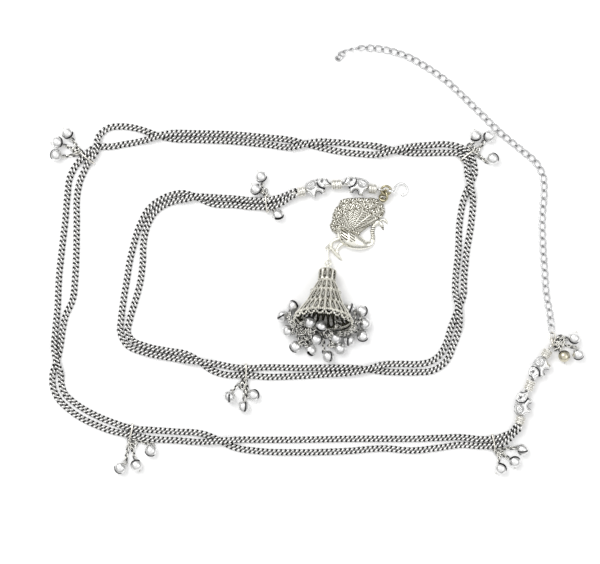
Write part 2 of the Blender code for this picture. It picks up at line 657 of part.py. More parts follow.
def build_knot(held, direction):
    """The knot ring, and the leaning ring from it to the peacock's upper eyelet.

    Gives the middle of the knot ring.
    """
    knot = linked(held, direction, KNOT_RADIUS, RING_WIRE, BEAD_WIRE) + Vector((0, 0, KNOT_RISE))
    hole = plan(*HANGING_EYELET, HANGING_EYELET_HEIGHT)
    run = (hole - knot).normalized()
    finish(ring(knot, direction.cross(run), KNOT_RADIUS, RING_WIRE), "knot_ring", "ring_metal")
    near = knot + run * (KNOT_RADIUS - RING_WIRE - 1.8 * GAP)
    across = side_of(run) * math.cos(PEACOCK_RING_LEAN) + run.cross(side_of(run)) * math.sin(PEACOCK_RING_LEAN)
    radius = (hole - near).length / 2
    finish(ring((hole + near) / 2, run.cross(across), radius, RING_WIRE, sides=12), "peacock_ring", "ring_metal")
    return knot


def build_pendant_links():
    """The long link and the small ring between the peacock and the bell drop.

    Gives the place of the bell drop's eyelet.
    """
    down = heading(math.radians(-90))
    height = drop_axis_height() - DROP_EYELET_RADIUS * math.sin(drop_tilt())
    held = plan(*FOOT_EYELET, FOOT_EYELET_HEIGHT) + down * FOOT_EYELET_RADIUS
    inside = PENDANT_WIRE + GAP
    near = held - down * inside
    slope = (height - near.z) / (LINK_LENGTH - inside)
    far = near + down * LINK_LENGTH
    far.z = height + slope * inside
    run = (far - near).normalized()
    upward = run.cross(side_of(down)).normalized()
    half = (LINK_WIDTH - PENDANT_WIRE) / 2
    points = []
    for end, base, sign in ((far, -half, 1), (near, half, -1)):
        for number in range(6):
            angle = math.radians(-90 + 36 * number) * sign
            points.append(end + run * (base + sign * half * math.cos(angle)) + upward * half * math.sin(angle) * 1.0)
    finish(tube([tuple(point) for point in points], PENDANT_WIRE, resolution=1, closed=True),
           "pendant_link", "antique_metal")
    centre = linked(far, down, DROP_RING_RADIUS, PENDANT_WIRE, PENDANT_WIRE)
    centre.z = height
    finish(ring(centre, Vector((0, 0, 1)), DROP_RING_RADIUS, PENDANT_WIRE), "pendant_ring", "antique_metal")
    held = centre + down * DROP_RING_RADIUS
    return linked(held, down, DROP_EYELET_RADIUS, PENDANT_WIRE, PENDANT_WIRE)


def drop_top_edge():
    """Distance down the axis and radius of the drop's upper edge, which touches the ground."""
    share, radius, _ = DROP_PROFILE[1]
    return share * DROP_LENGTH - 0.6 * DROP_WALL, radius * DROP_RIM_RADIUS + 0.6 * DROP_WALL


def drop_tilt():
    """Tilt of the drop's axis as it lies on its upper edge and its rim."""
    distance, radius = drop_top_edge()
    return math.atan2(DROP_RIM_RADIUS + 0.44 * DROP_WALL - radius, DROP_LENGTH - 0.25 * DROP_WALL - distance)


def drop_axis_height():
    """Height of the drop's axis at its closed top."""
    distance, radius = drop_top_edge()
    return radius * math.cos(drop_tilt()) - distance * math.sin(drop_tilt())


def drop_frame(eyelet):
    """The drop's top point, and its axis, upper side and right side directions."""
    tilt = drop_tilt()
    level = heading(DROP_HEADING)
    axis = level * math.cos(tilt) + Vector((0, 0, math.sin(tilt)))
    upper = Vector((0, 0, math.cos(tilt))) - level * math.sin(tilt)
    right = side_of(level)
    top = eyelet + axis * DROP_EYELET_RADIUS
    top.z = drop_axis_height()
    return top, axis, upper, right


def build_bell_drop(eyelet):
    """The hollow pierced drop: three tiers turned from one profile, cut into windows."""
    top, axis, upper, right = drop_frame(eyelet)
    mesh = bpy.data.meshes.new("drop")
    rows = [(share * DROP_LENGTH, radius * DROP_RIM_RADIUS) for share, radius, _ in DROP_PROFILE]
    points = [(radius, 0.0, -distance) for distance, radius in rows]
    mesh.from_pydata(points, [(row, row + 1) for row in range(len(points) - 1)], [])
    thing = bpy.data.objects.new("drop", mesh)
    bpy.context.scene.collection.objects.link(thing)
    turn = thing.modifiers.new("turn", "SCREW")
    turn.steps = 2 * WINDOWS
    turn.render_steps = 2 * WINDOWS
    turn.use_merge_vertices = True
    turn.merge_threshold = 0.00001
    shell = meshed(thing)
    form = bmesh.new()
    form.from_mesh(shell.data)
    windows = []
    for face in form.faces:
        place = face.calc_center_median()
        column = int((math.atan2(place.y, place.x) % math.tau) / (math.pi / WINDOWS))
        row = sum(1 for distance, _ in rows if distance < -place.z) - 1
        if DROP_PROFILE[row][2] and column % 2 == 0:
            windows.append(face)
    bmesh.ops.delete(form, geom=windows, context="FACES")
    for point in form.verts:
        angle = math.atan2(point.co.y, point.co.x) % math.tau
        column = round(angle / (math.pi / WINDOWS))
        row = min(range(len(rows)), key=lambda number: abs(rows[number][0] + point.co.z))
        wide = 0.10 if DROP_PROFILE[row][2] else 0.30
        shift = (-wide if column % 2 == 0 else wide) * math.pi / WINDOWS
        radius = math.hypot(point.co.x, point.co.y)
        point.co.x = radius * math.cos(angle + shift)
        point.co.y = radius * math.sin(angle + shift)
    rim = [edge for edge in form.edges
           if edge.is_boundary and all(point.co.z < -0.99 * DROP_LENGTH for point in edge.verts)]
    bmesh.ops.subdivide_edges(form, edges=rim, cuts=1)
    for point in form.verts:
        if point.co.z < -0.99 * DROP_LENGTH and len(point.link_edges) == 2:
            point.co.z -= SCALLOP
    ring_top = [edge for edge in form.edges
                if edge.is_boundary and all(point.co.z > -0.001 * DROP_LENGTH for point in edge.verts)]
    bmesh.ops.contextual_create(form, geom=ring_top)
    bmesh.ops.recalc_face_normals(form, faces=form.faces)
    form.to_mesh(shell.data)
    form.free()
    wall = shell.modifiers.new("wall", "SOLIDIFY")
    wall.thickness = DROP_WALL
    wall.offset = 0.0
    shell = meshed(shell)
    loop = ring(Vector((0, 0, DROP_EYELET_RADIUS)), Vector((0, 1, 0)), DROP_EYELET_RADIUS, PENDANT_WIRE)
    solid = combine(shell, [loop], "UNION")
    turn = Matrix((upper, right, upper.cross(right))).transposed().to_4x4()
    solid.matrix_world = Matrix.Translation(top) @ turn
    finish(solid, "bell_drop", "antique_metal")


def build_rim_bells(eyelet):
    """The ring at the drop's rim with its short chains and bells, in one piece."""
    top, axis, upper, right = drop_frame(eyelet)
    centre = top + axis * (DROP_LENGTH + SCALLOP + 1.5 * GAP + RIM_WIRE / 2)
    radius = BELL_DIAMETER / 2
    loop = ring(centre, axis, DROP_RIM_RADIUS, RIM_WIRE, sides=16)
    drops = []
    for angle, across, down, height in RIM_BELLS:
        turn = math.radians(angle)
        outward = upper * math.cos(turn) + right * math.sin(turn)
        start = centre + outward * DROP_RIM_RADIUS + axis * DROP_CHAIN_WIDTH / 3
        place = plan(across, down, height * BELL_DIAMETER)
        growth = (place - centre) * (DROP_RIM_RADIUS / RIM_DRAWN_RADIUS - 1)
        place += Vector((growth.x, growth.y, 0.0))
        points = [start]
        if height > 0.6:
            points.append(start + axis * DROP_CHAIN_WIDTH * 0.4 - outward * DROP_CHAIN_WIDTH)
        elif abs(angle) < 130:
            points.append(start + outward * DROP_CHAIN_WIDTH)
        points.append(place + (points[-1] - place).normalized() * radius * 0.9)
        for point in points:
            point.z = max(point.z, DROP_CHAIN_WIDTH / 2)
        chain = tube([tuple(point) for point in points], DROP_CHAIN_WIDTH, resolution=1)
        drops.append(combine(ball(place, radius), [chain], "UNION"))
    solid = combine(loop, drops, "UNION")
    finish(solid, "bell_drop_fringe", "bell_metal")


def build_single_chain(start):
    """The open-link chain that the hook fastens into, from the joint ring to its end."""
    rows = [tuple(start.xy)] + [tuple(plan(*place).xy) for place in EXTENDER_ROUTE]
    fine = smooth_rows(rows, 0.5 * MM)
    along = distance_along(fine)
    low = EXTENDER_WIDTH / 2
    down = np.clip(1 - along / (4 * EXTENDER_WIDTH), 0.0, 1.0)
    height = low + (start.z - low) * down ** 2 * (3 - 2 * down)
    line = np.column_stack((fine, height))
    picked = few_points([line])
    solid = tube([tuple(point) for point in line[picked]], EXTENDER_WIDTH)
    finish(solid, "single_chain", "chain_metal")


def main():
    """Build every piece of the waist chain."""
    global parts
    for thing in list(bpy.data.objects):
        bpy.data.objects.remove(thing)
    parts = bpy.data.collections.new("waist_chain")
    bpy.context.scene.collection.children.link(parts)
    make_material("chain_metal", (0.62, 0.62, 0.60), 0.32)
    make_material("ring_metal", (0.58, 0.52, 0.40), 0.30)
    make_material("elephant_metal", (0.72, 0.72, 0.72), 0.28)
    make_material("bead_metal", (0.70, 0.68, 0.62), 0.30)
    make_material("bell_metal", (0.78, 0.78, 0.76), 0.22)
    make_material("dark_bell_metal", (0.50, 0.46, 0.38), 0.25)
    make_material("hook_metal", (0.88, 0.88, 0.86), 0.20)
    make_material("antique_metal", (0.55, 0.53, 0.44), 0.36)

    first_eyes, first_arms = bead_wire("first", FIRST_WIRE)
    second_eyes, second_arms = bead_wire("second", SECOND_WIRE)
    clear = BEAD_WIRE / 2 + 3 * GAP
    start = first_eyes[0] + first_arms[0] * clear
    end = second_eyes[0] + second_arms[0] * clear
    first, second, middle, forward = pair_of_chains(start, end)
    rings = [nearest_index(middle, place) for place, _ in BELL_GROUPS.values()]
    picked = few_points([first, second], rings)
    for name, line in (("chain_1", first), ("chain_2", second)):
        finish(tube([tuple(point) for point in line[picked]], STRAND_WIDTH), name, "chain_metal")
    build_bell_groups(middle, forward)

    joint = linked(second_eyes[1], second_arms[1], KNOT_RADIUS, RING_WIRE, BEAD_WIRE)
    level = Vector((0, 0, 1))
    finish(ring(joint, level, KNOT_RADIUS, RING_WIRE), "joint_ring", "ring_metal")
    hold = KNOT_RADIUS + RING_WIRE / 2 + 2 * GAP
    build_single_chain(joint + heading(math.radians(95)) * hold)
    for number, bell in enumerate(JOINT_BELLS, 1):
        away = heading(math.radians(20 - 55 * (number - 1)))
        metal = "dark_bell_metal" if number == 3 else "bell_metal"
        bell_drop(f"joint_bell_{number}", joint + away * hold, plan(*bell), metal)

    knot = build_knot(first_eyes[1], first_arms[1])
    out = heading(HOOK_HEADING)
    eye = linked(knot + out * KNOT_RADIUS, out, HOOK_EYE_RADIUS, HOOK_WIRE, RING_WIRE)
    build_hook(eye, out)
    build_peacock()
    eyelet = build_pendant_links()
    build_bell_drop(eyelet)
    build_rim_bells(eyelet)


main()
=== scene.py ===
"""The waist chain as it lies in its picture: every link, bead, bell and casting in detail.

Lengths are metres, +Z is up, and the chain lies on z = 0.
"""

import math

import bmesh
import bpy
import numpy as np
from numpy.lib.stride_tricks import sliding_window_view
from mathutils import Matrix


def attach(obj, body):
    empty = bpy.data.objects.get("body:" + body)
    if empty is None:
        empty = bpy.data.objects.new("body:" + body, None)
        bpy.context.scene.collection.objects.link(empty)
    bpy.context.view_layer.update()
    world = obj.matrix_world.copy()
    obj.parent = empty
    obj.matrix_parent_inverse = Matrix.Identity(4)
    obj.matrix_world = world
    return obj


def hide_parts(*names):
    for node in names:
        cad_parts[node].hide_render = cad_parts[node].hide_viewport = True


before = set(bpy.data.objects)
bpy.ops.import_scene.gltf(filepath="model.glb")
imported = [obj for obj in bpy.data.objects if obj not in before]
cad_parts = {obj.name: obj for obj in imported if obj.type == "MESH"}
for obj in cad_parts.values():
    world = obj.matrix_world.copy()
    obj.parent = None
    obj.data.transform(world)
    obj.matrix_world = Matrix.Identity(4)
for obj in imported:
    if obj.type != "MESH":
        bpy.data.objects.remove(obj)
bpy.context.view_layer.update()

# The view: a camera straight above the white table that the chain lies on, in a white room
# that is brighter overhead than at the sides, with two wide and weak window lights.
MM = 0.001
VIEW_MIDDLE = (-8.26 * MM, -10.75 * MM)
VIEW_WIDTH = 288 * MM
VIEW_HEIGHT = 1.2
FILM_WIDTH = 36.0
TABLE_WHITE = 0.97
ROOM_SIDES = 0.28
ROOM_OVERHEAD = 1.03
ROOM_FADE = (0.12, 0.80)
TABLE_HALF = 3.0

lens = bpy.data.cameras.new("camera")
lens.sensor_width = FILM_WIDTH
lens.lens = FILM_WIDTH * VIEW_HEIGHT / VIEW_WIDTH
lens.clip_start = 0.05
camera = bpy.data.objects.new("camera", lens)
camera.location = (*VIEW_MIDDLE, VIEW_HEIGHT)
bpy.context.scene.collection.objects.link(camera)
bpy.context.scene.camera = camera
bpy.context.scene.view_settings.view_transform = "Standard"

room = bpy.data.worlds.new("room")
room.use_nodes = True
room_nodes = room.node_tree.nodes
room_way = room_nodes.new("ShaderNodeTexCoord")
room_parts = room_nodes.new("ShaderNodeSeparateXYZ")
room_shade = room_nodes.new("ShaderNodeMapRange")
room_shade.interpolation_type = "SMOOTHSTEP"
for key, value in zip(("From Min", "From Max", "To Min", "To Max"), (*ROOM_FADE, ROOM_SIDES, ROOM_OVERHEAD)):
    room_shade.inputs[key].default_value = value
room.node_tree.links.new(room_way.outputs["Generated"], room_parts.inputs[0])
room.node_tree.links.new(room_parts.outputs["Z"], room_shade.inputs["Value"])
room.node_tree.links.new(room_shade.outputs["Result"], room_nodes["Background"].inputs["Strength"])
room_nodes["Background"].inputs["Color"].default_value = (1, 1, 1, 1)
bpy.context.scene.world = room


def window(name, place, size, power):
    """A square window light at a place, turned to the middle of the view."""
    light = bpy.data.lights.new(name, "AREA")
    light.size = size
    light.energy = power
    thing = bpy.data.objects.new(name, light)
    thing.location = place
    run = np.array((*VIEW_MIDDLE, 0.0)) - np.array(place)
    thing.rotation_euler = (math.atan2(math.hypot(run[0], run[1]), -run[2]), 0.0,
                            math.atan2(run[1], run[0]) - math.pi / 2)
    bpy.context.scene.collection.objects.link(thing)


window("left_window", (-0.55, 0.60, 0.95), 0.80, 8.0)
window("right_window", (0.80, -0.15, 0.85), 0.60, 1.8)

table = bpy.data.meshes.new("table")
table.from_pydata([(x * TABLE_HALF, y * TABLE_HALF, 0) for x, y in ((-1, -1), (1, -1), (1, 1), (-1, 1))],
                  [], [(0, 1, 2, 3)])
table_top = bpy.data.objects.new("table", table)
bpy.context.scene.collection.objects.link(table_top)
paint = bpy.data.materials.new("table_white")
paint.use_nodes = True
paint_sockets = paint.node_tree.nodes["Principled BSDF"].inputs
paint_sockets["Base Color"].default_value = (TABLE_WHITE, TABLE_WHITE, TABLE_WHITE, 1)
paint_sockets["Roughness"].default_value = 0.9
table.materials.append(paint)


# The two bead wires: soft drawn wire with an eye bent at each end, threaded through an end
# bead, an elephant, the middle bead, an elephant and an end bead.
PLAN_UNIT = 0.48 * MM
PLAN_MIDDLE = (317.2, 259.6)
GAP = 0.3 * MM
BEAD_WIRE = 0.8 * MM
EYE_RADIUS = 1.5 * MM
END_LENGTH = 3.4 * MM
MIDDLE_LENGTH = 4.6 * MM
ELEPHANT_LENGTH = 12.7 * MM
ELEPHANT_HEIGHT = 9.0 * MM
ELEPHANT_THICKNESS = 5.6 * MM
BEAD_WIRES = {
    "first": {"middle": (336.6, 184.7), "arms": (191.7, -6.9), "feet": 270, "rises": (0.5 * MM, 0.5 * MM)},
    "second": {"middle": (529.1, 385.2), "arms": (254.8, 62.3), "feet": -20, "rises": (0.5 * MM, -0.6 * MM)},
}
UP = np.array((0.0, 0.0, 1.0))


def plan(across, down, height=0.0):
    """The place over a point of the lay-out plan: its steps times one step's real size."""
    return np.array(((across - PLAN_MIDDLE[0]) * PLAN_UNIT, (PLAN_MIDDLE[1] - down) * PLAN_UNIT, height))


def heading(degrees):
    """The level direction at an angle from +X: its cosine and its sine."""
    return np.array((math.cos(math.radians(degrees)), math.sin(math.radians(degrees)), 0.0))


def unit(vectors):
    """Vectors divided by their own lengths."""
    return vectors / np.maximum(np.linalg.norm(vectors, axis=-1, keepdims=True), 1e-12)


def side_of(direction):
    """The level direction to the left: straight up crossed with the direction."""
    return unit(np.cross(UP, direction))


def soft_step(values, low, high):
    """0 below low and 1 above high, with 3t^2 - 2t^3 between them."""
    share = np.clip((values - low) / (high - low), 0.0, 1.0)
    return share * share * (3 - 2 * share)


def fade(values, low, high):
    """1 below low and 0 above high: one less the soft step."""
    return 1 - soft_step(values, low, high)


class Reading:
    """A number or colour that a metal's nodes work out; arithmetic on it adds Math nodes."""

    def __init__(self, metal, socket):
        self.metal = metal
        self.socket = socket

    def maths(self, operation, first, second):
        """The result of a Math node on two numbers or readings."""
        return self.metal.node("ShaderNodeMath", {"operation": operation}, {0: first, 1: second})

    def __add__(self, other):
        return self.maths("ADD", self, other)

    def __sub__(self, other):
        return self.maths("SUBTRACT", self, other)

    def __rsub__(self, other):
        return self.maths("SUBTRACT", other, self)

    def __mul__(self, other):
        return self.maths("MULTIPLY", self, other)

    __radd__ = __add__
    __rmul__ = __mul__

    def kept(self):
        """The number held between 0 and 1."""
        return self.metal.node("ShaderNodeMath", {"operation": "ADD", "use_clamp": True}, {0: self, 1: 0.0})


class Metal:
    """A metal finish: a material and the one way to add a node to it."""

    def __init__(self, name):
        self.material = bpy.data.materials.new(name)
        self.material.use_nodes = True
        self.tree = self.material.node_tree
        self.shader = self.tree.nodes["Principled BSDF"]

    def node(self, kind, settings, values, output=0):
        """A node with its settings, then its sockets' values or links, as one of its outputs."""
        node = self.tree.nodes.new(kind)
        for key, value in settings.items():
            setattr(node, key, value)
        for key, value in values.items():
            self.feed(node.inputs[key], value)
        return Reading(self, node.outputs[output])

    def feed(self, socket, value):
        """A socket's value, or the link of a reading to it."""
        if isinstance(value, Reading):
            self.tree.links.new(value.socket, socket)
        else:
            socket.default_value = value


OXIDE_GLOSS = 0.06
# Marks to the metre, and the way and the stretch of the scratches.
GRAINS = 4200.0
SCRATCHES = 900.0
SCRATCH_TURN = (0.0, 0.0, 0.6)
SCRATCH_STRETCH = (1.0, 0.12, 0.5)
CLOUD_SIZE = 2.6 * MM


def silver(name, bright, dark, polish, tarnish=0.35, scratch=0.35, depth=0.06):
    """White metal with oxide left in its hollows.

    The piece's "recess" attribute holds the oxide and, on many pieces, painted shade too; clouds of noise
    make it uneven.  It darkens and dulls the metal, and its own gloss is low, so it looks black.  Fine
    scratches and small hammer marks vary the polish and lift the surface by the depth, a few hundredths of a
    millimetre.
    """
    metal = Metal(name)
    place = metal.node("ShaderNodeTexCoord", {}, {}, "Object")
    recess = metal.node("ShaderNodeAttribute", {"attribute_name": "recess"}, {}, "Fac")
    cloud = metal.node("ShaderNodeTexNoise", {}, {
        "Vector": place, "Scale": 1.0 / CLOUD_SIZE, "Detail": 3.0, "Roughness": 0.6})
    grain = metal.node("ShaderNodeTexNoise", {}, {
        "Vector": place, "Scale": GRAINS, "Detail": 2.0, "Roughness": 0.7})
    stroke = metal.node("ShaderNodeMapping", {"vector_type": "TEXTURE"}, {
        "Vector": place, "Rotation": SCRATCH_TURN, "Scale": SCRATCH_STRETCH})
    scratches = metal.node("ShaderNodeTexNoise", {}, {
        "Vector": stroke, "Scale": SCRATCHES, "Detail": 2.0, "Roughness": 0.8})
    # Oxide in the hollows and painted shade, both from the recess attribute, plus uneven tarnish.
    oxide_and_shade = (recess * (0.86 + 0.50 * cloud) + tarnish * (cloud - 0.58)).kept()
    worn = (0.35 * cloud + 0.65 * grain).kept()
    tone = metal.node("ShaderNodeMix", {"data_type": "RGBA"}, {
        0: worn, 6: (*[shade * 0.90 for shade in bright], 1.0), 7: (*bright, 1.0)}, 2)
    colour = metal.node("ShaderNodeMix", {"data_type": "RGBA"}, {0: oxide_and_shade, 6: tone, 7: (*dark, 1.0)}, 2)
    gloss = (polish + 0.38 * oxide_and_shade + scratch * (scratches - 0.5) * 0.5 + 0.10 * (grain - 0.5)).kept()
    relief = 0.6 * grain + 0.4 * scratches
    bump = metal.node("ShaderNodeBump", {}, {
        "Height": relief, "Strength": 0.5, "Distance": depth * MM})
    metal.feed(metal.shader.inputs["Base Color"], colour)
    metal.feed(metal.shader.inputs["Roughness"], gloss)
    metal.feed(metal.shader.inputs["Metallic"], 1.0 - 0.90 * oxide_and_shade)
    metal.feed(metal.shader.inputs["Specular IOR Level"], OXIDE_GLOSS)
    metal.feed(metal.shader.inputs["Normal"], bump)
    return metal.material


def cells(rows, columns, rows_closed, columns_closed):
    """The four corner numbers of each cell of a grid, as an array of rows and columns."""
    row = np.arange(rows if rows_closed else rows - 1)[:, None]
    column = np.arange(columns if columns_closed else columns - 1)[None, :]
    next_row = (row + 1) % rows
    next_column = (column + 1) % columns
    return np.stack((row * columns + column, row * columns + next_column,
                     next_row * columns + next_column, next_row * columns + column), axis=-1)


def sheet(points, recess, rows_closed=False, columns_closed=True, kept=None):
    """The corners, recess values and faces of grids of one size: (grid, row, column, xyz)."""
    count, rows, columns = points.shape[:3]
    corners = cells(rows, columns, rows_closed, columns_closed)
    corners = corners[kept] if kept is not None else corners.reshape(-1, 4)
    faces = corners[None] + (np.arange(count) * rows * columns)[:, None, None]
    values = np.broadcast_to(recess, (count, rows, columns)).reshape(-1)
    return points.reshape(-1, 3), values, faces.reshape(-1, 4)


def mesh_of(sheets):
    """One welded mesh with a recess attribute, its faces pointing out and none below the table."""
    start = np.cumsum([0] + [len(points) for points, _, _ in sheets])
    corners = np.concatenate([points for points, _, _ in sheets])
    corners[:, 2] = np.maximum(corners[:, 2], 0.0)
    mesh = bpy.data.meshes.new("made")
    mesh.from_pydata(
        corners.tolist(), [],
        np.concatenate([faces + offset for (_, _, faces), offset in zip(sheets, start)]).tolist())
    recess = mesh.attributes.new("recess", "FLOAT", "POINT")
    recess.data.foreach_set("value", np.concatenate([values for _, values, _ in sheets]).astype(np.float32))
    form = bmesh.new()
    form.from_mesh(mesh)
    bmesh.ops.remove_doubles(form, verts=form.verts, dist=0.0004 * MM)
    bmesh.ops.recalc_face_normals(form, faces=form.faces)
    form.to_mesh(mesh)
    form.free()
    return mesh


def piece(name, nodes, metals, sheets, edge=50):
    """A finished piece of the chain, in place of its plain nodes."""
    mesh = sheets if isinstance(sheets, bpy.types.Mesh) else mesh_of(sheets)
    mesh.name = name
    for metal in metals:
        mesh.materials.append(metal)
    mesh.shade_smooth()
    mesh.set_sharp_from_angle(angle=math.radians(edge))
    thing = bpy.data.objects.new(name, mesh)
    bpy.context.scene.collection.objects.link(thing)
    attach(thing, "root")
    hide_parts(*nodes)


def swept(line, outward, radius, sides, closed):
    """Round wires along lines.

    Each point of a line gets a circle: radius times (outward cos a + across sin a), where
    outward is squared to the line's run, and across is run crossed with outward.
    """
    if closed:
        run = unit(np.roll(line, -1, axis=1) - np.roll(line, 1, axis=1))
    else:
        run = unit(np.gradient(line, axis=1))
    outward = unit(outward - run * np.sum(outward * run, axis=-1, keepdims=True))
    across = np.cross(run, outward)
    angle = np.arange(sides) * math.tau / sides
    circle = (outward[:, :, None] * np.cos(angle)[:, None] + across[:, :, None] * np.sin(angle)[:, None])
    radius = np.broadcast_to(radius, line.shape[:2])
    return line[:, :, None] + radius[:, :, None, None] * circle


def hoops(centres, normals, radius, wire, around=40, sides=8, recess=0.0):
    """Round rings: radius times (across cos t + along sin t) about each centre."""
    centres, normals = np.atleast_2d(centres), unit(np.atleast_2d(normals))
    guide = np.where(np.abs(normals[:, 2:]) > 0.8, np.array((1.0, 0.0, 0.0)), UP)
    across = unit(np.cross(normals, guide))
    along = np.cross(normals, across)
    turn = np.arange(around) * math.tau / around
    outward = across[:, None] * np.cos(turn)[:, None] + along[:, None] * np.sin(turn)[:, None]
    rings = swept(centres[:, None] + radius * outward, outward, wire / 2, sides, True)
    # The inner side of each ring's wire is painted darker, as shade.
    inner = soft_step(-np.cos(np.arange(sides) * math.tau / sides), 0.2, 1.0)
    return sheet(rings, np.clip(recess + 0.5 * inner, 0, 1), rows_closed=True)


def rod(line, radii, sides, recess=0.0):
    """A round bar along one line, its ends closed by half balls of its own radius."""
    line = np.asarray(line, dtype=float)
    radii = np.broadcast_to(np.asarray(radii, dtype=float), len(line))
    cap = np.radians((90, 60, 30))
    first, last = unit(line[0] - line[1]), unit(line[-1] - line[-2])
    head = line[0] + first * (radii[0] * np.sin(cap))[:, None]
    tail = line[-1] + last * (radii[-1] * np.sin(cap[::-1]))[:, None]
    full = np.concatenate((head, line, tail))
    widths = np.concatenate((radii[0] * np.cos(cap), radii, radii[-1] * np.cos(cap[::-1])))
    values = np.broadcast_to(np.asarray(recess, dtype=float), len(line))
    values = np.concatenate((values[[0] * 3], values, values[[-1] * 3]))
    outward = np.broadcast_to(UP, full.shape)
    grid = swept(full[None], outward[None], np.maximum(widths, 1e-9)[None], sides, False)
    return sheet(grid, values[None, :, None])


WIRE_METAL = silver("bead_wire_metal", (0.86, 0.85, 0.82), (0.10, 0.09, 0.07), 0.24, tarnish=0.40)


def bead_wire(tag, spec):
    """The places along one bead wire; makes the wire itself and gives them."""
    middle = plan(*spec["middle"], ELEPHANT_THICKNESS / 2)
    arms = [heading(angle) for angle in spec["arms"]]
    elephant_at = MIDDLE_LENGTH / 2 + GAP + ELEPHANT_LENGTH / 2
    end_at = elephant_at + ELEPHANT_LENGTH / 2 + GAP + END_LENGTH / 2
    eye_at = end_at + END_LENGTH / 2 + GAP + BEAD_WIRE / 2 + EYE_RADIUS
    first, last = [middle + arm * (eye_at - EYE_RADIUS) for arm in arms]
    line = np.concatenate((np.linspace(first, middle, 8)[:-1], np.linspace(middle, last, 8)))
    eyes = hoops([middle + arm * eye_at for arm in arms], [side_of(arm) for arm in arms],
                 EYE_RADIUS, BEAD_WIRE)
    piece(f"{tag}_wire_with_eyes", [f"{tag}_wire"], [WIRE_METAL],
          [rod(line, BEAD_WIRE / 2, sides=8), eyes])
    return {
        "middle": middle, "arms": arms, "feet": heading(spec["feet"]), "rises": spec["rises"],
        "elephants": [middle + arm * elephant_at for arm in arms],
        "ends": [middle + arm * end_at for arm in arms],
        "eyes": [middle + arm * (eye_at + EYE_RADIUS) for arm in arms],
    }


bead_places = {tag: bead_wire(tag, spec) for tag, spec in BEAD_WIRES.items()}


# The barrel beads: cast white metal, a little warm.  Each has a flange at both ends, a
# double line round its middle and a row of small dots on both sides of it, and oxide
# stays between them.
BEAD_RADIUS = 2.3 * MM
BEAD_BORE = 0.70 * MM
BEAD_SEAT = 0.24 * MM
BEAD_ROWS = 47
BEAD_SIDES = 66
BEAD_DOTS = 11
BEAD_METAL = silver("bead_white_metal", (0.93, 0.915, 0.86), (0.20, 0.185, 0.14), 0.27, tarnish=0.18)


def barrel(centre, direction, length, bore):
    """A turned bead: its radius is a soft barrel, plus flanges, two lines and rows of dots.

    Along s from -1 to 1 the barrel is 0.88 + 0.08 (1 - s^6) of the full radius.  A flange
    is a bell curve at s = 0.86, the lines are at 0.12, and the dots at 0.5 are a bell
    curve times a soft step of the cosine of eleven times the angle round.  Oxide lies
    between them, at 0.29, 0.69 and the middle.
    """
    angle = np.arange(BEAD_SIDES) * math.tau / BEAD_SIDES
    s, turn = np.meshgrid(np.linspace(-1, 1, BEAD_ROWS), angle, indexing="ij")

    def bump(at, width):
        """A bell curve of s on both halves of the bead."""
        return np.exp(-((np.abs(s) - at) / width) ** 2)

    dots = bump(0.50, 0.13) * soft_step(np.cos(BEAD_DOTS * turn), -0.4, 0.6)
    lift = 0.05 * bump(0.86, 0.10) + 0.05 * bump(0.12, 0.07) + 0.05 * dots - 0.03 * bump(0.29, 0.05)
    shape = (0.88 + 0.08 * (1 - s ** 6) + lift) * BEAD_RADIUS
    lines = bump(0.29, 0.055) + bump(0.69, 0.055) + 0.7 * bump(0.0, 0.03)
    recess = np.clip(lines + 0.35 * bump(0.5, 0.10) * (1 - dots), 0.0, 1.0)
    radius = np.concatenate((shape, np.full((2, BEAD_SIDES), bore)))
    height = np.concatenate((s, np.ones((1, BEAD_SIDES)), -np.ones((1, BEAD_SIDES)))) * length / 2
    around = np.broadcast_to(angle, radius.shape)
    side = side_of(direction)
    top = np.cross(direction, side)
    points = (centre + height[..., None] * direction
              + (radius * np.cos(around))[..., None] * side + (radius * np.sin(around))[..., None] * top)
    values = np.concatenate((recess, np.ones((2, BEAD_SIDES))))
    return sheet(points[None], values[None], rows_closed=True)


for tag, places in bead_places.items():
    across = unit(places["arms"][1] - places["arms"][0])
    bend = math.acos(min(1.0, -float(np.dot(*places["arms"])))) / 2
    bore = BEAD_BORE + MIDDLE_LENGTH / 2 * math.tan(bend)
    piece(f"{tag}_middle_barrel", [f"{tag}_middle_bead"], [BEAD_METAL],
          [barrel(places["middle"], across, MIDDLE_LENGTH + BEAD_SEAT, bore)])
    for number, (centre, arm) in enumerate(zip(places["ends"], places["arms"]), 1):
        piece(f"{tag}_end_barrel_{number}", [f"{tag}_end_bead_{number}"], [BEAD_METAL],
              [barrel(centre, arm, END_LENGTH + BEAD_SEAT, BEAD_BORE)])


# The elephants: cast white metal, the same on both faces, bored from tail to trunk.  A
# quilted saddle cloth covers the rump, deep crescents frame the ear, the eye is a ringed
# diamond, and the face is hatched.
ELEPHANT_METAL = silver("elephant_white_metal", (0.95, 0.95, 0.94), (0.025, 0.025, 0.03), 0.22,
                        tarnish=0.18)
ELEPHANT_HEART = (-0.08, 0.02)
ELEPHANT_EDGE = [
    (-0.50, 0.10), (-0.485, 0.22), (-0.43, 0.33), (-0.35, 0.405), (-0.25, 0.44), (-0.12, 0.445),
    (0.00, 0.44), (0.09, 0.475), (0.17, 0.50), (0.25, 0.485), (0.31, 0.44), (0.37, 0.36),
    (0.42, 0.28), (0.465, 0.20), (0.50, 0.12), (0.495, 0.02), (0.47, -0.05), (0.38, -0.07),
    (0.29, -0.05), (0.245, -0.10), (0.235, -0.24), (0.225, -0.38), (0.15, -0.415), (0.07, -0.40),
    (0.045, -0.30), (0.00, -0.245), (-0.06, -0.225), (-0.11, -0.27), (-0.135, -0.38), (-0.165, -0.485),
    (-0.25, -0.50), (-0.33, -0.48), (-0.345, -0.34), (-0.38, -0.24), (-0.45, -0.17), (-0.49, -0.05),
]
ELEPHANT_ROUNDING = 1.5 * MM
ELEPHANT_BODY = 2.35 * MM
ELEPHANT_SIDES = 150
ELEPHANT_STEPS = 34
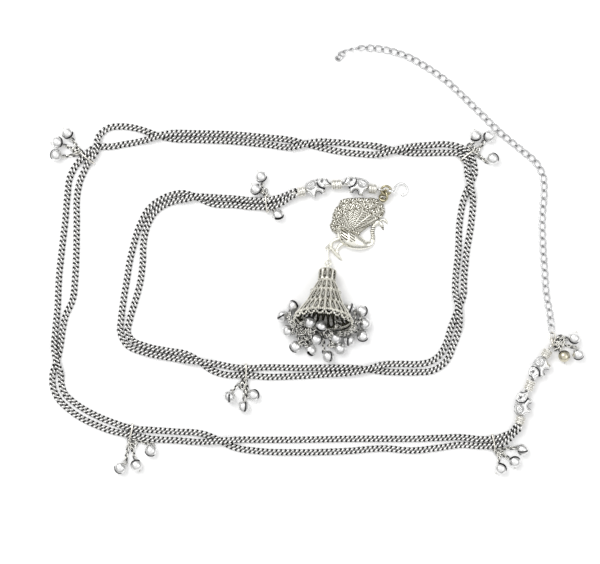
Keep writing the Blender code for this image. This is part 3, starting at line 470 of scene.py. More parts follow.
RELIEF_DEPTH = 0.42 * MM
MAZE_PITCH = 1.05 * MM
MAZE_BEND = 2.6 * MM
HATCH_PITCH = 0.80 * MM
TOE_PITCH = 0.75 * MM
# Middle and radius of the cloth, the ear's back edge, the trunk's front line and the eye.
CLOTH = ((-3.4 * MM, 2.0 * MM), 2.55 * MM)
EAR = ((3.2 * MM, 2.2 * MM), 3.3 * MM)
TRUNK_LINE = ((8.2 * MM, 3.0 * MM), 3.45 * MM)
EYE = ((2.4 * MM, 2.5 * MM), 0.72 * MM)


def even_outline(corners, count):
    """Evenly spaced points along a closed line through corners, by distance along it."""
    corners = np.asarray(corners, dtype=float)
    closed = np.concatenate((corners, corners[:1]))
    along = np.concatenate(([0.0], np.cumsum(np.linalg.norm(np.diff(closed, axis=0), axis=1))))
    at = np.arange(count) * along[-1] / count
    return np.stack([np.interp(at, along, closed[:, axis]) for axis in (0, 1)], axis=1)


def to_edge(x, y, outline):
    """Distance from points to the nearest part of a closed outline of straight pieces."""
    start, run = outline, np.roll(outline, -1, axis=0) - outline
    spot = np.stack((x, y), axis=-1)[..., None, :] - start
    share = np.clip(np.sum(spot * run, axis=-1) / np.sum(run * run, axis=-1), 0.0, 1.0)
    return np.linalg.norm(spot - share[..., None] * run, axis=-1).min(axis=-1)


def groove(distance, width):
    """A groove's depth across it: 1 on its line, 0 beyond its width, soft between."""
    return fade(np.abs(distance), 0.35 * width, width)


def within(values, rise, fall):
    """1 between two limits, with a soft step up over the first and down over the second."""
    return soft_step(values, *rise) * fade(values, *fall)


def round_place(x, y, circle):
    """Distance from a circle's middle in its radii, and the angle about it in degrees, 0 to 360."""
    (middle_x, middle_y), radius = circle
    across, up = x - middle_x, y - middle_y
    return np.hypot(across, up) / radius, np.degrees(np.arctan2(up, across)) % 360


def elephant_relief(x, y, edge):
    """How far the side stands out, and how dark its hollows are, at points of the side view.

    The body is a quarter circle in from its edge.  The cloth is a raised round with a welt and a maze of
    slanting grooves.  A wide crescent is cut behind the ear, with a thin line outside it, and one more before
    the trunk.  The eye has a ring and a diamond, and the face between is hatched.  A band along the outline
    is painted darker, as shade where the sides turn down.
    """
    share = np.clip(edge / ELEPHANT_ROUNDING, 0.0, 1.0)
    body = np.sqrt(1 - (1 - share) ** 2)
    cloth, _ = round_place(x, y, CLOTH)
    on_cloth = fade(cloth, 0.92, 1.02)
    bend = 1.1 * np.sign(np.sin((x - y) * math.tau / MAZE_BEND))
    slant = np.sin((x + y) * math.tau / MAZE_PITCH + bend)
    maze = np.maximum(soft_step(slant, 0.15, 0.75) * fade(cloth, 0.62, 0.72), groove(cloth - 0.80, 0.09))
    welt = groove(cloth - 1.0, 0.10)
    ear, ear_turn = round_place(x, y, EAR)
    behind_ear = within(ear_turn, (128, 150), (268, 286))
    behind = groove(ear - 1.0, 0.09 + 0.09 * soft_step(ear_turn, 165, 205)) * behind_ear
    outside = groove(ear - 1.24, 0.065) * behind_ear * fade(ear_turn, 215, 240)
    inner = groove(ear - 0.74, 0.06) * within(ear_turn, (140, 165), (225, 245))
    front, front_turn = round_place(x, y, TRUNK_LINE)
    before = groove(front - 1.0, 0.10) * within(front_turn, (168, 180), (244, 256))
    trunk = groove(front - 0.62, 0.05) * within(front_turn, (200, 215), (268, 280))
    eye, _ = round_place(x, y, EYE)
    ring = groove(eye - 1.0, 0.28)
    pupil = fade((np.abs(x - EYE[0][0]) + np.abs(y - EYE[0][1])) / EYE[1], 0.55, 0.85)
    hatch = soft_step(np.sin((x * 0.5 - y) * math.tau / HATCH_PITCH), 0.0, 0.7)
    face = soft_step(front, 1.10, 1.16) * fade(ear, 0.55, 0.70) * fade(y, 1.4 * MM, 1.8 * MM)
    face = face * soft_step(x, 2.2 * MM, 2.8 * MM)
    lobe = fade(np.hypot(x - 2.6 * MM, y + 1.35 * MM), 0.35 * MM, 0.65 * MM)
    between_legs = fade(edge, 0.15 * MM, 0.65 * MM) * fade(y, -1.9 * MM, -1.5 * MM)
    between_legs = between_legs * fade(np.abs(x + 0.4 * MM), 1.5 * MM, 2.1 * MM)
    toes = soft_step(np.sin(x * math.tau / TOE_PITCH), 0.3, 0.9) * fade(y, -4.0 * MM, -3.7 * MM)
    dark = np.max([
        0.60 * maze * on_cloth, 0.50 * welt, behind, 0.6 * outside, 0.45 * inner, before, 0.6 * trunk,
        0.85 * ring, 0.9 * pupil, 0.60 * hatch * face, 0.9 * lobe, 0.85 * between_legs, 0.4 * toes], axis=0)
    raised = 0.40 * on_cloth + 0.42 * fade(ear, 0.92, 1.02) + 0.22 * fade(eye, 0.9, 1.1)
    lift = raised * MM - RELIEF_DEPTH * dark
    # Painted shade: a band along the outline, where the sides turn down to the table.
    outline_shade = 0.30 * fade(edge, 0.0, 0.4 * MM)
    return body, lift * share, np.clip(dark + outline_shade, 0, 1)


def elephant(centre, forward, feet, rise):
    """An elephant: rays from its heart to its outline, out over one face and back on the other.

    A point is the heart plus a share of the way to the outline.  It stands out from the
    middle by the body's half thickness times its rounding, plus the relief.
    """
    size = np.array((ELEPHANT_LENGTH, ELEPHANT_HEIGHT))
    outline = even_outline(np.array(ELEPHANT_EDGE) * size, ELEPHANT_SIDES)
    smooth = (np.roll(outline, 1, axis=0) + 2 * outline + np.roll(outline, -1, axis=0)) / 4
    heart = np.array(ELEPHANT_HEART) * size
    share = np.sin(np.linspace(0, 1, ELEPHANT_STEPS) * math.pi / 2)
    flat = heart + share[:, None, None] * (smooth - heart)
    x, y = flat[..., 0], flat[..., 1]
    body, lift, dark = elephant_relief(x, y, to_edge(x, y, smooth))
    half = ELEPHANT_BODY * body + lift
    half[-1] = 0.0
    up = side_of(forward)
    if np.dot(up, feet) > 0:
        up = -up
    out = np.cross(forward, up)
    side_view = centre + x[..., None] * forward + (y + rise)[..., None] * up
    near = side_view + half[..., None] * out
    far = side_view - half[..., None] * out
    points = np.concatenate((near, far[::-1][1:]))
    return sheet(points[None], np.concatenate((dark, dark[::-1][1:]))[None])


for tag, places in bead_places.items():
    pair = zip(places["elephants"], places["arms"], places["rises"])
    for number, (centre, arm, rise) in enumerate(pair, 1):
        piece(f"{tag}_cast_elephant_{number}", [f"{tag}_elephant_{number}"],
              [ELEPHANT_METAL], [elephant(centre, -arm, places["feet"], rise)])


# The two curb chains: oval links of round white-metal wire, each twisted so that it lies flat in the next.
# They run side by side, and one is laid over the other where they change places.  Painted shade, black on
# each link's low quarters and underneath, fills the gaps between the links.
STRAND_WIDTH = 2.8 * MM
LINK_PITCH = 2.2 * MM
LINK_HALF_LENGTH = 1.08 * MM
LINK_HALF_WIDTH = 1.14 * MM
LINK_WIRE = 0.78 * MM
# The wire is thicker by this share on each link's low quarters, which are painted black, so that painted
# shade fills the gaps.
LINK_THICKER = 0.85
LINK_TWIST = math.radians(-58)
LINK_SLANT = 0.42
LINK_POINTS = 16
LINK_SIDES = 6
LINK_EDGE = 80
# How far the links roll together over a run of them, and each by itself.
LINK_SWAY = math.radians(10)
SWAY_LINKS = 13
LINK_SHAKE = math.radians(1.5)
# How far the painted shade on each link is turned from its low quarters.
SHADE_SHIFT = math.radians(10)
ROUTE_STEP = 0.25 * MM
STRAND_REST = 0.86 * MM
OVER_HEIGHT = 1.75 / 3.25
HUMP_EASE = 2.6 * MM
RING_WIRE = 0.8 * MM
RING_HALF = (4.0 * MM, 1.36 * MM)
RING_EASE = 6.0 * MM
END_EASE = 7.0 * MM
END_RISE = 1.3 * MM
END_OVERLAP = 2.6 * MM
END_SPREAD = 0.45
# Across, down, and the spread of the two chains, which changes sign where they cross.
PAIR_ROUTE = [
    (290, 195.5, 0.5), (283, 199.2, 0.8), (276, 202.0, 1.05), (266.5, 203.7, 1.02), (253, 203.7, 1.0),
    (235, 202.0, 1.0), (212, 200.5, 1.0), (196, 197.0, 0.0), (184, 196.6, -1.0),
    (172, 198.4, -1.05), (161, 203.2, -1.0), (152, 210.5, -1.05), (145.8, 220.5, -1.05),
    (141, 233.5, -1.25), (138.3, 247, -1.55), (136.4, 261, -2.0), (133.6, 281, -2.1),
    (129.5, 300, -1.8), (125.6, 319, -1.35), (124.2, 332.5, -1.1), (128.8, 341.5, -1.1),
    (147, 349.7, -1.0), (167, 353.8, -1.0), (187, 357.4, -0.95), (200, 361.5, 0.0),
    (212, 366.5, 1.1), (228, 370.6, 1.35), (245.8, 371.6, 1.02), (263, 372.0, 1.45),
    (298, 371.9, 1.25), (329, 370.8, 1.0), (350, 370.2, 0.75), (367, 369.2, 0.0),
    (382, 368.0, -1.05), (400, 368.0, -1.3), (417, 368.1, -1.25), (431, 366.2, -1.4),
    (442.3, 358.6, -1.35), (449.6, 344.5, -1.15), (454.6, 329, -1.25), (458.5, 308, 0.0),
    (459.3, 295, 1.2), (459.6, 280, 1.3), (462.0, 255, 1.25), (465.6, 220, 1.8),
    (468.4, 198.5, 1.35), (469.8, 184, 0.0), (470.8, 172, -1.2), (470.3, 164, -1.05),
    (466.8, 155.8, -1.0), (459.4, 150.6, -1.03), (446, 148.6, -1.3), (430, 149.0, -1.25),
    (410, 150.0, -0.95), (394, 150.5, 0.0), (380, 150.6, 1.15), (357, 149.0, 1.45),
    (332, 146.2, 1.25), (318, 144.5, 0.8), (306, 144.0, 0.0), (294, 144.0, -1.0),
    (268, 141.2, -1.1), (230, 137.8, -1.05), (191, 136.6, -1.0), (172, 136.1, -0.85),
    (159, 136.0, 0.0), (147, 135.8, 1.3), (134, 135.4, 2.3), (122, 135.6, 2.8),
    (111, 137.4, 2.9), (102.5, 142.0, 1.9), (98, 146.6, 0.4), (94, 151.0, -0.8), (87.4, 158.2, -1.02),
    (81.0, 167.0, -1.5), (75.5, 178, -1.65), (72.4, 195, -1.5), (71.0, 222, -1.8),
    (69.2, 250, -2.25), (66.9, 281, -2.5), (65.6, 298, -2.3), (61.6, 314, -1.4),
    (59, 331, -1.1), (57.4, 347, -0.9), (57, 361, 0.0), (56.9, 374, 1.25),
    (57.3, 385, 1.35), (61.2, 395.4, 1.3), (70.4, 404.8, 1.35), (82, 413, 1.4),
    (97, 420.6, 1.35), (113.5, 427, 1.3), (131, 431.4, 1.02), (151, 434.2, 1.35),
    (176, 435.9, 1.35), (204, 438.0, 1.2), (220, 440.5, 0.0), (235, 443.4, -1.2),
    (256, 445.2, -1.7), (300, 445.9, -1.95), (345, 444.9, -1.9), (386, 443.5, -1.5),
    (412, 444.6, -1.8), (436, 443.0, -1.55), (462, 441.0, -1.15), (481, 442.6, -1.05),
    (493, 442.2, -1.02), (504, 438.8, -0.95), (512.5, 432.6, -0.3),
]
# Where the ring of each bell group goes round both chains; then for each bell its place, the
# way its slit faces and how far up it faces, and how far the slit is turned, in degrees.
BELL_GROUPS = {
    "bell_group_1": ((266.5, 203.7), (
        (261.1, 176.9, -62, 26, 90), (255.6, 189.3, -52, 30, 90), (277.9, 215.2, -48, 42, 62))),
    "bell_group_2": ((245.8, 371.6), (
        (229.6, 396.2, -95, 60, 4), (243.9, 406.4, 0, 70, 84), (253.9, 394.6, 24, 30, 90))),
    "bell_group_3": ((466.8, 155.8), (
        (475.1, 136.2, -84, 34, 90), (488.4, 136.6, 205, 24, 70), (492.6, 158.8, 36, 30, 90))),
    "bell_group_4": ((87.4, 158.2), (
        (67.9, 133.5, -52, 30, 90), (57.9, 142.5, 4, 31, 90), (56.4, 155.2, 165, 26, 90))),
    "bell_group_5": ((131, 431.4), (
        (151.1, 450.4, -112, 30, 90), (136.8, 464.7, 116, 30, 90), (120.5, 467.6, -138, 27, 90))),
    "bell_group_6": ((493, 442.2), (
        (521.9, 449.4, -84, 72, 88), (514.3, 461.2, 94, 32, 90), (500.4, 468.2, 48, 36, 90))),
}
CHAIN_METAL = silver("chain_white_metal", (0.94, 0.935, 0.915), (0.012, 0.012, 0.011), 0.24, tarnish=0.35)
rng = np.random.default_rng(7)


def smooth_rows(rows, step):
    """Rows at even steps along a smooth curve: cubic pieces with the rows' own slopes."""
    rows = np.asarray(rows, dtype=float)
    chords = np.hypot(*np.diff(rows[:, :2], axis=0).T)
    at = np.concatenate(([0.0], np.cumsum(chords)))
    slope = np.gradient(rows, at, axis=0)
    fine = np.linspace(0.0, at[-1], int(at[-1] / step) + 2)
    low = np.clip(np.searchsorted(at, fine, side="right") - 1, 0, len(at) - 2)
    span = (at[low + 1] - at[low])[:, None]
    share = (fine - at[low])[:, None] / span
    back = 1.0 - share
    return (rows[low] * (1 + 2 * share) * back ** 2 + slope[low] * span * share * back ** 2
            + rows[low + 1] * share ** 2 * (3 - 2 * share) - slope[low + 1] * span * share ** 2 * back)


def distance_along(points):
    """Distance of each point along the line through them."""
    return np.concatenate(([0.0], np.cumsum(np.linalg.norm(np.diff(points, axis=0), axis=1))))


def eased(heights, reach, step):
    """The highest value within reach of each point, then the mean within reach."""
    half = max(1, int(reach / step))
    padded = np.pad(heights, 2 * half, mode="edge")
    widest = sliding_window_view(padded, 2 * half + 1).max(axis=-1)
    return sliding_window_view(widest, 2 * half + 1).mean(axis=-1)


def nearest_index(line, place):
    """The point of a level line that is nearest to a place on the plan."""
    return int(np.linalg.norm(line - plan(*place)[:2], axis=1).argmin())


def hump(far, ease):
    """Half a cosine wave: 1 where far is 0, and 0 from the ease on."""
    return 0.5 * (1 + np.cos(np.pi * np.minimum(far / ease, 1.0)))


def pair_of_chains(start, end):
    """Middle lines of the two chains and of the pair, and the pair's direction.

    The chains stand off to both sides of the pair's middle by the spread.  Where they
    come too close to lie side by side, the upper rises by a share of the root of the
    touching distance squared less the distance apart squared.  Both rise at a bell
    group's ring and at the ends.
    """
    rows = [(*plan(across, down)[:2], spread) for across, down, spread in PAIR_ROUTE]
    rows = [(*start[:2], END_SPREAD)] + rows + [(*end[:2], -END_SPREAD)]
    fine = smooth_rows(rows, ROUTE_STEP)
    middle = fine[:, :2]
    along = distance_along(middle)
    forward = unit(np.gradient(middle, along, axis=0))
    left = np.stack((-forward[:, 1], forward[:, 0]), axis=1)
    touch = STRAND_WIDTH + GAP
    offset = fine[:, 2] * touch / 2
    apart = 2 * np.abs(offset) / np.sqrt(1 + np.gradient(offset, along) ** 2)
    over = touch + GAP / 2
    full_rise = np.sqrt(np.maximum(over ** 2 - apart ** 2, 0.0)) * (apart < touch)
    rise = eased(full_rise, HUMP_EASE, ROUTE_STEP) * OVER_HEIGHT
    changes = np.nonzero(np.diff(np.sign(fine[:, 2])) != 0)[0]
    crossings = np.concatenate(([0.0], along[changes], [along[-1]]))
    crossings = crossings[np.concatenate(([True], np.diff(crossings) > 4 * touch))]
    first_over = np.abs(along[:, None] - crossings[None, :]).argmin(axis=1) % 2 == 0
    ring_height = RING_WIRE / 2 + RING_HALF[1] - STRAND_REST
    lift = END_RISE * hump(np.minimum(along, along[-1] - along), END_EASE)
    for place, _ in BELL_GROUPS.values():
        lift += ring_height * hump(np.abs(along - along[nearest_index(middle, place)]), RING_EASE)
    low = STRAND_REST + lift
    first = np.column_stack((middle + left * offset[:, None], low + np.where(first_over, rise, 0.0)))
    second = np.column_stack((middle - left * offset[:, None], low + np.where(first_over, 0.0, rise)))
    return first, second, middle, forward


def along_line(line, at):
    """Places and directions at distances along a line."""
    along = distance_along(line)
    slope = np.gradient(line, along, axis=0)
    centre = np.stack([np.interp(at, along, line[:, axis]) for axis in range(3)], axis=1)
    ahead = unit(np.stack([np.interp(at, along, slope[:, axis]) for axis in range(3)], axis=1))
    return centre, ahead


def twisted_links(line, count, half, wire, twist, roll, around, sides, slant=0.0, thicker=0.0):
    """Twisted oval links along a line, as grids.

    About its centre a link is b sin t across the line, turned by the twist times cos t so
    that its two ends lean opposite ways, and a cos t along the line plus the slant times
    what it stands off to the left.  Its wire is thicker by up to a share where it lies low.
    """
    length = distance_along(line)[-1]
    centre, ahead = along_line(line, np.arange(count) * length / (count - 1))
    left = side_of(ahead)
    up = np.cross(ahead, left)
    turn = np.arange(around) * math.tau / around
    lean = twist * np.cos(turn)[None] + roll[:, None]
    y = (half[1] * np.sin(turn)[None] * np.cos(lean))[..., None]
    x = half[0] * np.cos(turn)[None, :, None] + slant * y
    z = (half[1] * np.sin(turn)[None] * np.sin(lean))[..., None]
    bent = centre[:, None] + ahead[:, None] * x + left[:, None] * y + up[:, None] * z
    thickness = wire / 2 * (1 + thicker * soft_step(np.sin(2 * turn), 0.0, 0.6))
    return swept(bent, bent - centre[:, None], thickness, sides, True)


def curb_links(line):
    """The links of one curb chain.

    A link keeps its bare metal on top of the two quarters that lie high, by a soft step of minus sin 2t, and
    is painted black as shade on the other two and underneath.
    """
    length = distance_along(line)[-1]
    count = int(round(length / LINK_PITCH)) + 1
    loose = rng.normal(0, 1, count + SWAY_LINKS - 1)
    sway = np.convolve(loose, np.ones(SWAY_LINKS) / SWAY_LINKS, mode="valid") * LINK_SWAY
    roll = sway + rng.normal(0, 1, count) * LINK_SHAKE
    grid = twisted_links(line, count, (LINK_HALF_LENGTH, LINK_HALF_WIDTH), LINK_WIRE, LINK_TWIST, roll,
                         LINK_POINTS, LINK_SIDES, LINK_SLANT, LINK_THICKER)
    turn = np.arange(LINK_POINTS) * math.tau / LINK_POINTS
    # Painted shade: black on the low quarters and underneath, bare metal on top of the high ones.
    high = soft_step(-np.sin(2 * turn - SHADE_SHIFT), -0.1, 0.4)[None, :, None]
    upward = (grid[..., 2] - grid[..., 2].mean(axis=2, keepdims=True)) / (LINK_WIRE / 2)
    return sheet(grid, 1 - high * soft_step(upward, -0.05, 0.50), rows_closed=True)


first_line, second_line, pair_middle, pair_forward = pair_of_chains(*[
    places["eyes"][0] - places["arms"][0] * (END_OVERLAP - BEAD_WIRE / 2) for places in bead_places.values()])
for number, line in enumerate((first_line, second_line), 1):
    piece(f"curb_links_{number}", [f"chain_{number}"], [CHAIN_METAL], [curb_links(line)],
          edge=LINK_EDGE)


# The bells: two halves of thin polished sheet closed round a loose shot, with a slit between two round holes
# at the bottom and a wire loop at the top.  Their insides and the lips of their slits are painted dark, as
# shade.  Three hang from the ring of each group, each on a short chain of blackened links with painted shade
# on their lower halves.
BELL_RADIUS = 2.85 * MM
BELL_WALL = 0.35 * MM
# Half the slit's width and its holes' radius: on a bell that lies on its side, and on one whose
# slit faces up past the angle.
BELL_SLITS = (0.50 * MM, 0.20 * MM)
BELL_HOLES = (0.66 * MM, 0.40 * MM)
FACES_UP = math.radians(45)
HOLE_TURN = math.radians(47)
# The seam and the slit's lip: half the width as a share of a turn, and how far it stands out as a
# share of the radius.
SEAM = (0.009, 0.018)
LIP = (0.02, 0.010)
BELL_METAL = silver("bell_polished_metal", (0.88, 0.88, 0.875), (0.02, 0.02, 0.022), 0.30, tarnish=0.16,
                    scratch=0.15, depth=0.02)
RING_METAL = silver("ring_pale_metal", (0.88, 0.85, 0.78), (0.12, 0.10, 0.07), 0.24, tarnish=0.40)
DARK_LINK_METAL = silver("short_chain_metal", (0.93, 0.92, 0.87), (0.010, 0.010, 0.008), 0.26, tarnish=0.5)
WARM_BELL_METAL = silver("bell_brass_metal", (0.62, 0.58, 0.45), (0.04, 0.035, 0.022), 0.22, tarnish=0.6)
LOOP_RADIUS = 0.72 * MM
LOOP_WIRE = 0.50 * MM
# The short link's last value is the height up each link over which its painted shade fades out.
SHORT_LINK = {"pitch": 1.52 * MM, "half": (1.12 * MM, 0.76 * MM), "wire": 0.50 * MM,
              "turn": math.radians(78), "points": 12, "sides": 5, "shade_height": 0.36 * MM}
SHORT_CHAIN_LENGTH = 7.4 * MM
SHORT_CHAIN_REST = 0.85 * MM
LOOP_REST = 0.7 * MM
BELL_CLEAR = 0.3 * MM
HEAP_REACH = 1.9 * MM
HEAP_RISE = 0.35 * MM
HEAP_SHARE = 0.38
HEAP_TURN = 2.1
RING_LEAN = math.radians(12)
FAN_STEP = math.radians(32)


def bells(centres, faces, dips, turns):
    """Hollow bells with a slit, and their loops, opposite the way that the slits face.

    A bell is a ball whose poles are the ends of its slit's line.  Its two middle columns follow the slit,
    which widens to round holes at both ends.  A seam stands out a quarter turn away on each side.  The wall
    is the ball again, smaller.  The inside, the slit's cut edges and a band along its lips are painted dark,
    as shade.
    """
    faces, dips, turns = np.radians(faces), np.radians(dips), np.radians(turns)
    toward = -np.stack((np.cos(faces), np.sin(faces), 0 * faces), axis=-1)
    shank = toward * np.cos(dips)[:, None] - UP * np.sin(dips)[:, None]
    bottom = -shank
    level = side_of(toward)
    rise = np.cross(level, bottom)
    slit = rise * np.cos(turns)[:, None] + level * np.sin(turns)[:, None]
    third = np.cross(bottom, slit)
    row = np.radians((0, 12, 24, 33, 34.5, 38, 43, 48, 52, 62, 76, 90, 104, 118, 128, 132, 137, 142, 145.5,
                      147, 156, 168, 180))
    from_middle = np.abs(row - math.pi / 2)
    from_hole = np.abs(from_middle - HOLE_TURN) * BELL_RADIUS
    up = (dips > FACES_UP)[:, None]
    half_slit = np.where(from_middle < HOLE_TURN, np.where(up, *BELL_SLITS[::-1]), 0.0)
    hole = np.where(up, *BELL_HOLES[::-1])
    half_slit = np.maximum(half_slit, np.sqrt(np.maximum(hole ** 2 - from_hole ** 2, 0.0)))
    half_angle = np.arcsin(np.clip(half_slit / (BELL_RADIUS * np.maximum(np.sin(row), 0.05)), 0, 1))
    share = np.array((0, .03, .08, .14, .19, .232, .242, .25, .258, .268, .31, .37, .435))
    share = np.concatenate((share, [0.5], 1 - share[::-1]))
    angle = half_angle[..., None] + share * (math.tau - 2 * half_angle[..., None])
    from_seam = np.abs(share - 0.5) - 0.25
    seam = np.exp(-(from_seam / SEAM[0]) ** 2)
    lip = np.exp(-(np.minimum(share, 1 - share) / LIP[0]) ** 2) * (half_slit[..., None] > 0)
    open_rows = (half_slit[0, :-1] > 0) | (half_slit[0, 1:] > 0)
    kept = np.ones((len(row) - 1, len(share)), dtype=bool)
    kept[:, -1] = False
    sine = np.sin(row)[:, None]

    def ball(radius):
        """Points of the balls, by their angles from the slit's line and round it."""
        along = (radius * np.cos(row)[:, None])[..., None]
        down = (radius * sine * np.cos(angle))[..., None]
        beside = (radius * sine * np.sin(angle))[..., None]
        return (centres[:, None, None] + along * slit[:, None, None]
                + down * bottom[:, None, None] + beside * third[:, None, None])

    outer = ball(BELL_RADIUS * (1 + SEAM[1] * seam + LIP[1] * lip))
    inner = ball((BELL_RADIUS - BELL_WALL) * np.ones_like(angle))
    # A band along the slit's lips is painted dark, as shade.
    dark = 0.16 * np.exp(-(from_seam / LIP[0]) ** 2) * (1 - seam) + 0.9 * lip
    # The inside of each bell and the slit's cut edges are painted dark, as shade.
    shells = [sheet(outer, dark, kept=kept), sheet(inner, 1.0, kept=kept)]
    for column in (0, len(share) - 1):
        edge = np.stack((outer[:, :, column], inner[:, :, column]), axis=2)
        shells.append(sheet(edge, 0.9, columns_closed=False, kept=open_rows[:, None]))
    loops = hoops(centres + shank * (BELL_RADIUS + 0.55 * LOOP_RADIUS), np.cross(shank, UP), LOOP_RADIUS,
                  LOOP_WIRE, around=18, sides=6, recess=0.25)
    return shells, loops, centres + shank * (BELL_RADIUS + LOOP_RADIUS)


def reached(starts, centres, held):
    """Where each bell's chain is seen to end: its loop, or its near side where the loop is beyond."""
    way = starts - centres
    way[:, 2] = 0.0
    beyond = np.sum(way * (held - centres), axis=-1) < 0
    near = centres + unit(way) * (BELL_RADIUS + BELL_CLEAR)
    ends = np.where(beyond[:, None], near, held)
    ends[:, 2] = np.where(beyond, SHORT_CHAIN_REST, np.maximum(ends[:, 2], LOOP_REST))
    return ends


def short_links(points, roll=0.0):
    """A short chain through points: oval links, each turned on from the last, with painted shade darkening
    each link towards its bottom.
    """
    line = np.asarray(points, dtype=float)
    length = distance_along(line)[-1]
    count = max(2, int(round(length / SHORT_LINK["pitch"])))
    runs = [np.linspace(here, there, 12)[:-1] for here, there in zip(line, line[1:])]
    fine = np.concatenate(runs + [line[-1:]])
    centre, ahead = along_line(fine, (np.arange(count) + 0.5) * length / count)
    left = side_of(ahead)
    up = np.cross(ahead, left)
    turn = np.arange(SHORT_LINK["points"]) * math.tau / SHORT_LINK["points"]
    tilt = roll + np.arange(count) * SHORT_LINK["turn"] + rng.normal(0, 0.2, count)
    across = left * np.cos(tilt)[:, None] + up * np.sin(tilt)[:, None]
    a, b = SHORT_LINK["half"]
    outward = ahead[:, None] * (a * np.cos(turn))[:, None] + across[:, None] * (b * np.sin(turn))[:, None]
    grid = swept(centre[:, None] + outward, outward, SHORT_LINK["wire"] / 2, SHORT_LINK["sides"], True)
    grid[..., 2] = np.maximum(grid[..., 2], 0.02 * MM)
    height = grid[..., 2] - centre[:, None, None, 2]
    # Each link is painted black below its middle, fading out above it: painted shade.
    return sheet(grid, fade(height, 0.0, SHORT_LINK["shade_height"]), rows_closed=True)


def chain_heap(centre, reach, rise, turns):
    """Loose chain in a heap: a line through places at random distances, each 2.1 radians on."""
    turn = rng.uniform(0, math.tau) + np.arange(turns) * HEAP_TURN
    far = rng.uniform(0.55, 1.0, turns) * reach
    offset = np.stack((far * np.cos(turn), far * np.sin(turn), rng.uniform(-1, 1, turns) * rise), axis=1)
    return short_links(smooth_rows(centre + offset, 0.4 * MM))


def hanging_line(start, end, hand):
    """From a ring down to the table and to a bell's loop; what is spare of it bulges to one side."""
    run = float(np.hypot(*(end - start)[:2]))
    spare = math.sqrt(max((SHORT_CHAIN_LENGTH / 2) ** 2 - (run / 2) ** 2, 0.0))
    middle = start + (end - start) * 0.5 + side_of(end - start) * hand * 0.75 * spare
    middle[2] = max(SHORT_CHAIN_REST, 0.5 * (start[2] + end[2]) - 0.2 * run)
    return smooth_rows([tuple(start), tuple(middle), tuple(end)], 0.5 * MM)


def three_bells(name, starts, spots, nodes, metal):
    """Bells at their places, each with its loop, and the chains from their ring to them."""
    across, down, *poses = np.array(spots, dtype=float).T
    places = np.stack([plan(a, d, BELL_RADIUS) for a, d in zip(across, down)])
    shells, loops, held = bells(places, *poses)
    piece(f"{name}_bells", nodes, [metal], shells)
    ends = reached(starts, places, held)
    chains = [short_links(hanging_line(start, end, 1 - 2 * (number % 2)))
              for number, (start, end) in enumerate(zip(starts, ends))]
    heap_at = (1 - HEAP_SHARE) * starts.mean(axis=0) + HEAP_SHARE * ends.mean(axis=0)
    heap_at[2] = SHORT_CHAIN_REST + 0.5 * MM
    heap = chain_heap(heap_at, HEAP_REACH, HEAP_RISE, 5)
    piece(f"{name}_short_chains", nodes, [DARK_LINK_METAL], chains + [heap, loops], edge=LINK_EDGE)


for name, (place, spots) in BELL_GROUPS.items():
    index = nearest_index(pair_middle, place)
    ahead = np.array((*pair_forward[index], 0.0))
    left = side_of(ahead)
    lean = UP * math.cos(RING_LEAN) + ahead * math.sin(RING_LEAN)
    centre = np.array((*pair_middle[index], RING_WIRE / 2 + RING_HALF[1]))
    turn = (np.arange(56) * math.tau / 56)[:, None]
    oval = RING_HALF[0] * np.cos(turn) * left + RING_HALF[1] * np.sin(turn) * lean
    piece(f"{name}_round_ring", [f"{name}_ring"], [RING_METAL],
          [sheet(swept((centre + oval)[None], oval[None], RING_WIRE / 2, 10, True), 0.0, rows_closed=True)])
    away = [(plan(*spot[:2], BELL_RADIUS) - centre) for spot in spots]
    side = np.array([1 if way @ left > 0 else -1 for way in away])
    starts = np.zeros((3, 3))
    for hand in (1, -1):
        group = sorted(np.nonzero(side == hand)[0], key=lambda number: float(away[number] @ ahead))
        for order, number in enumerate(group):
            angle = (order - (len(group) - 1) / 2) * FAN_STEP
            starts[number] = centre + (left * hand * math.cos(angle) * RING_HALF[0]
                                       + lean * math.sin(angle) * RING_HALF[1])
    three_bells(name, starts, spots, [f"{name}_bell_{number}" for number in (1, 2, 3)], BELL_METAL)


# The joint ring at the second bead wire holds the size-adjusting chain and a seventh set
# of bells, one of them brassy.  That chain is of open oval links, lightly twisted, with
# the last few lying on edge and a round one at its free end.
KNOT_RADIUS = 2.2 * MM
OPEN_LINK = {"pitch": 3.85 * MM, "half": (2.22 * MM, 1.42 * MM), "wire": 0.70 * MM}
OPEN_REST = 0.66 * MM
OPEN_POINTS = 20
OPEN_TWIST = math.radians(-26)
OPEN_SHAKE = 9
LAST_ROLLS = (40, 84, 76)
END_RING = (338.4, 57.6, 0.5 * MM)
END_RING_RADIUS = 1.55 * MM
END_RING_WIRE = 0.66 * MM
EXTENDER_FACES = 95
EXTENDER_FALL = 12 * MM
JOINT_RING_FACES = 8
EXTENDER_ROUTE = [
    (549.7, 314.5), (545.8, 291.6), (544.9, 277.4), (542.4, 239), (542.2, 215),
    (543.9, 191.3), (542.8, 176), (537.2, 164.5), (520, 149.2), (500.9, 133.4),
    (481.7, 114.8), (462.6, 96.2), (445.4, 80.4), (424.4, 66), (405.2, 55.7),
    (386.1, 50.1), (367, 48.0), (352, 49.4), (343.5, 52.6), (340.6, 55.4),
]
JOINT_BELLS = ((573.6, 338.1, -112, 31, 90), (577.6, 354.2, -80, 26, 90), (563.6, 356.0, 95, 26, 90))
OPEN_METAL = silver("open_chain_white_metal", (0.60, 0.60, 0.605), (0.03, 0.03, 0.03), 0.24, tarnish=0.45)

joint_arm = bead_places["second"]["arms"][1]
joint = bead_places["second"]["eyes"][1] + joint_arm * (KNOT_RADIUS - (RING_WIRE + BEAD_WIRE) / 2 - GAP)
piece("joint_round_ring", ["joint_ring"], [RING_METAL],
      [hoops(joint, heading(JOINT_RING_FACES) + 0.25 * UP, KNOT_RADIUS, RING_WIRE, around=44, sides=10)])

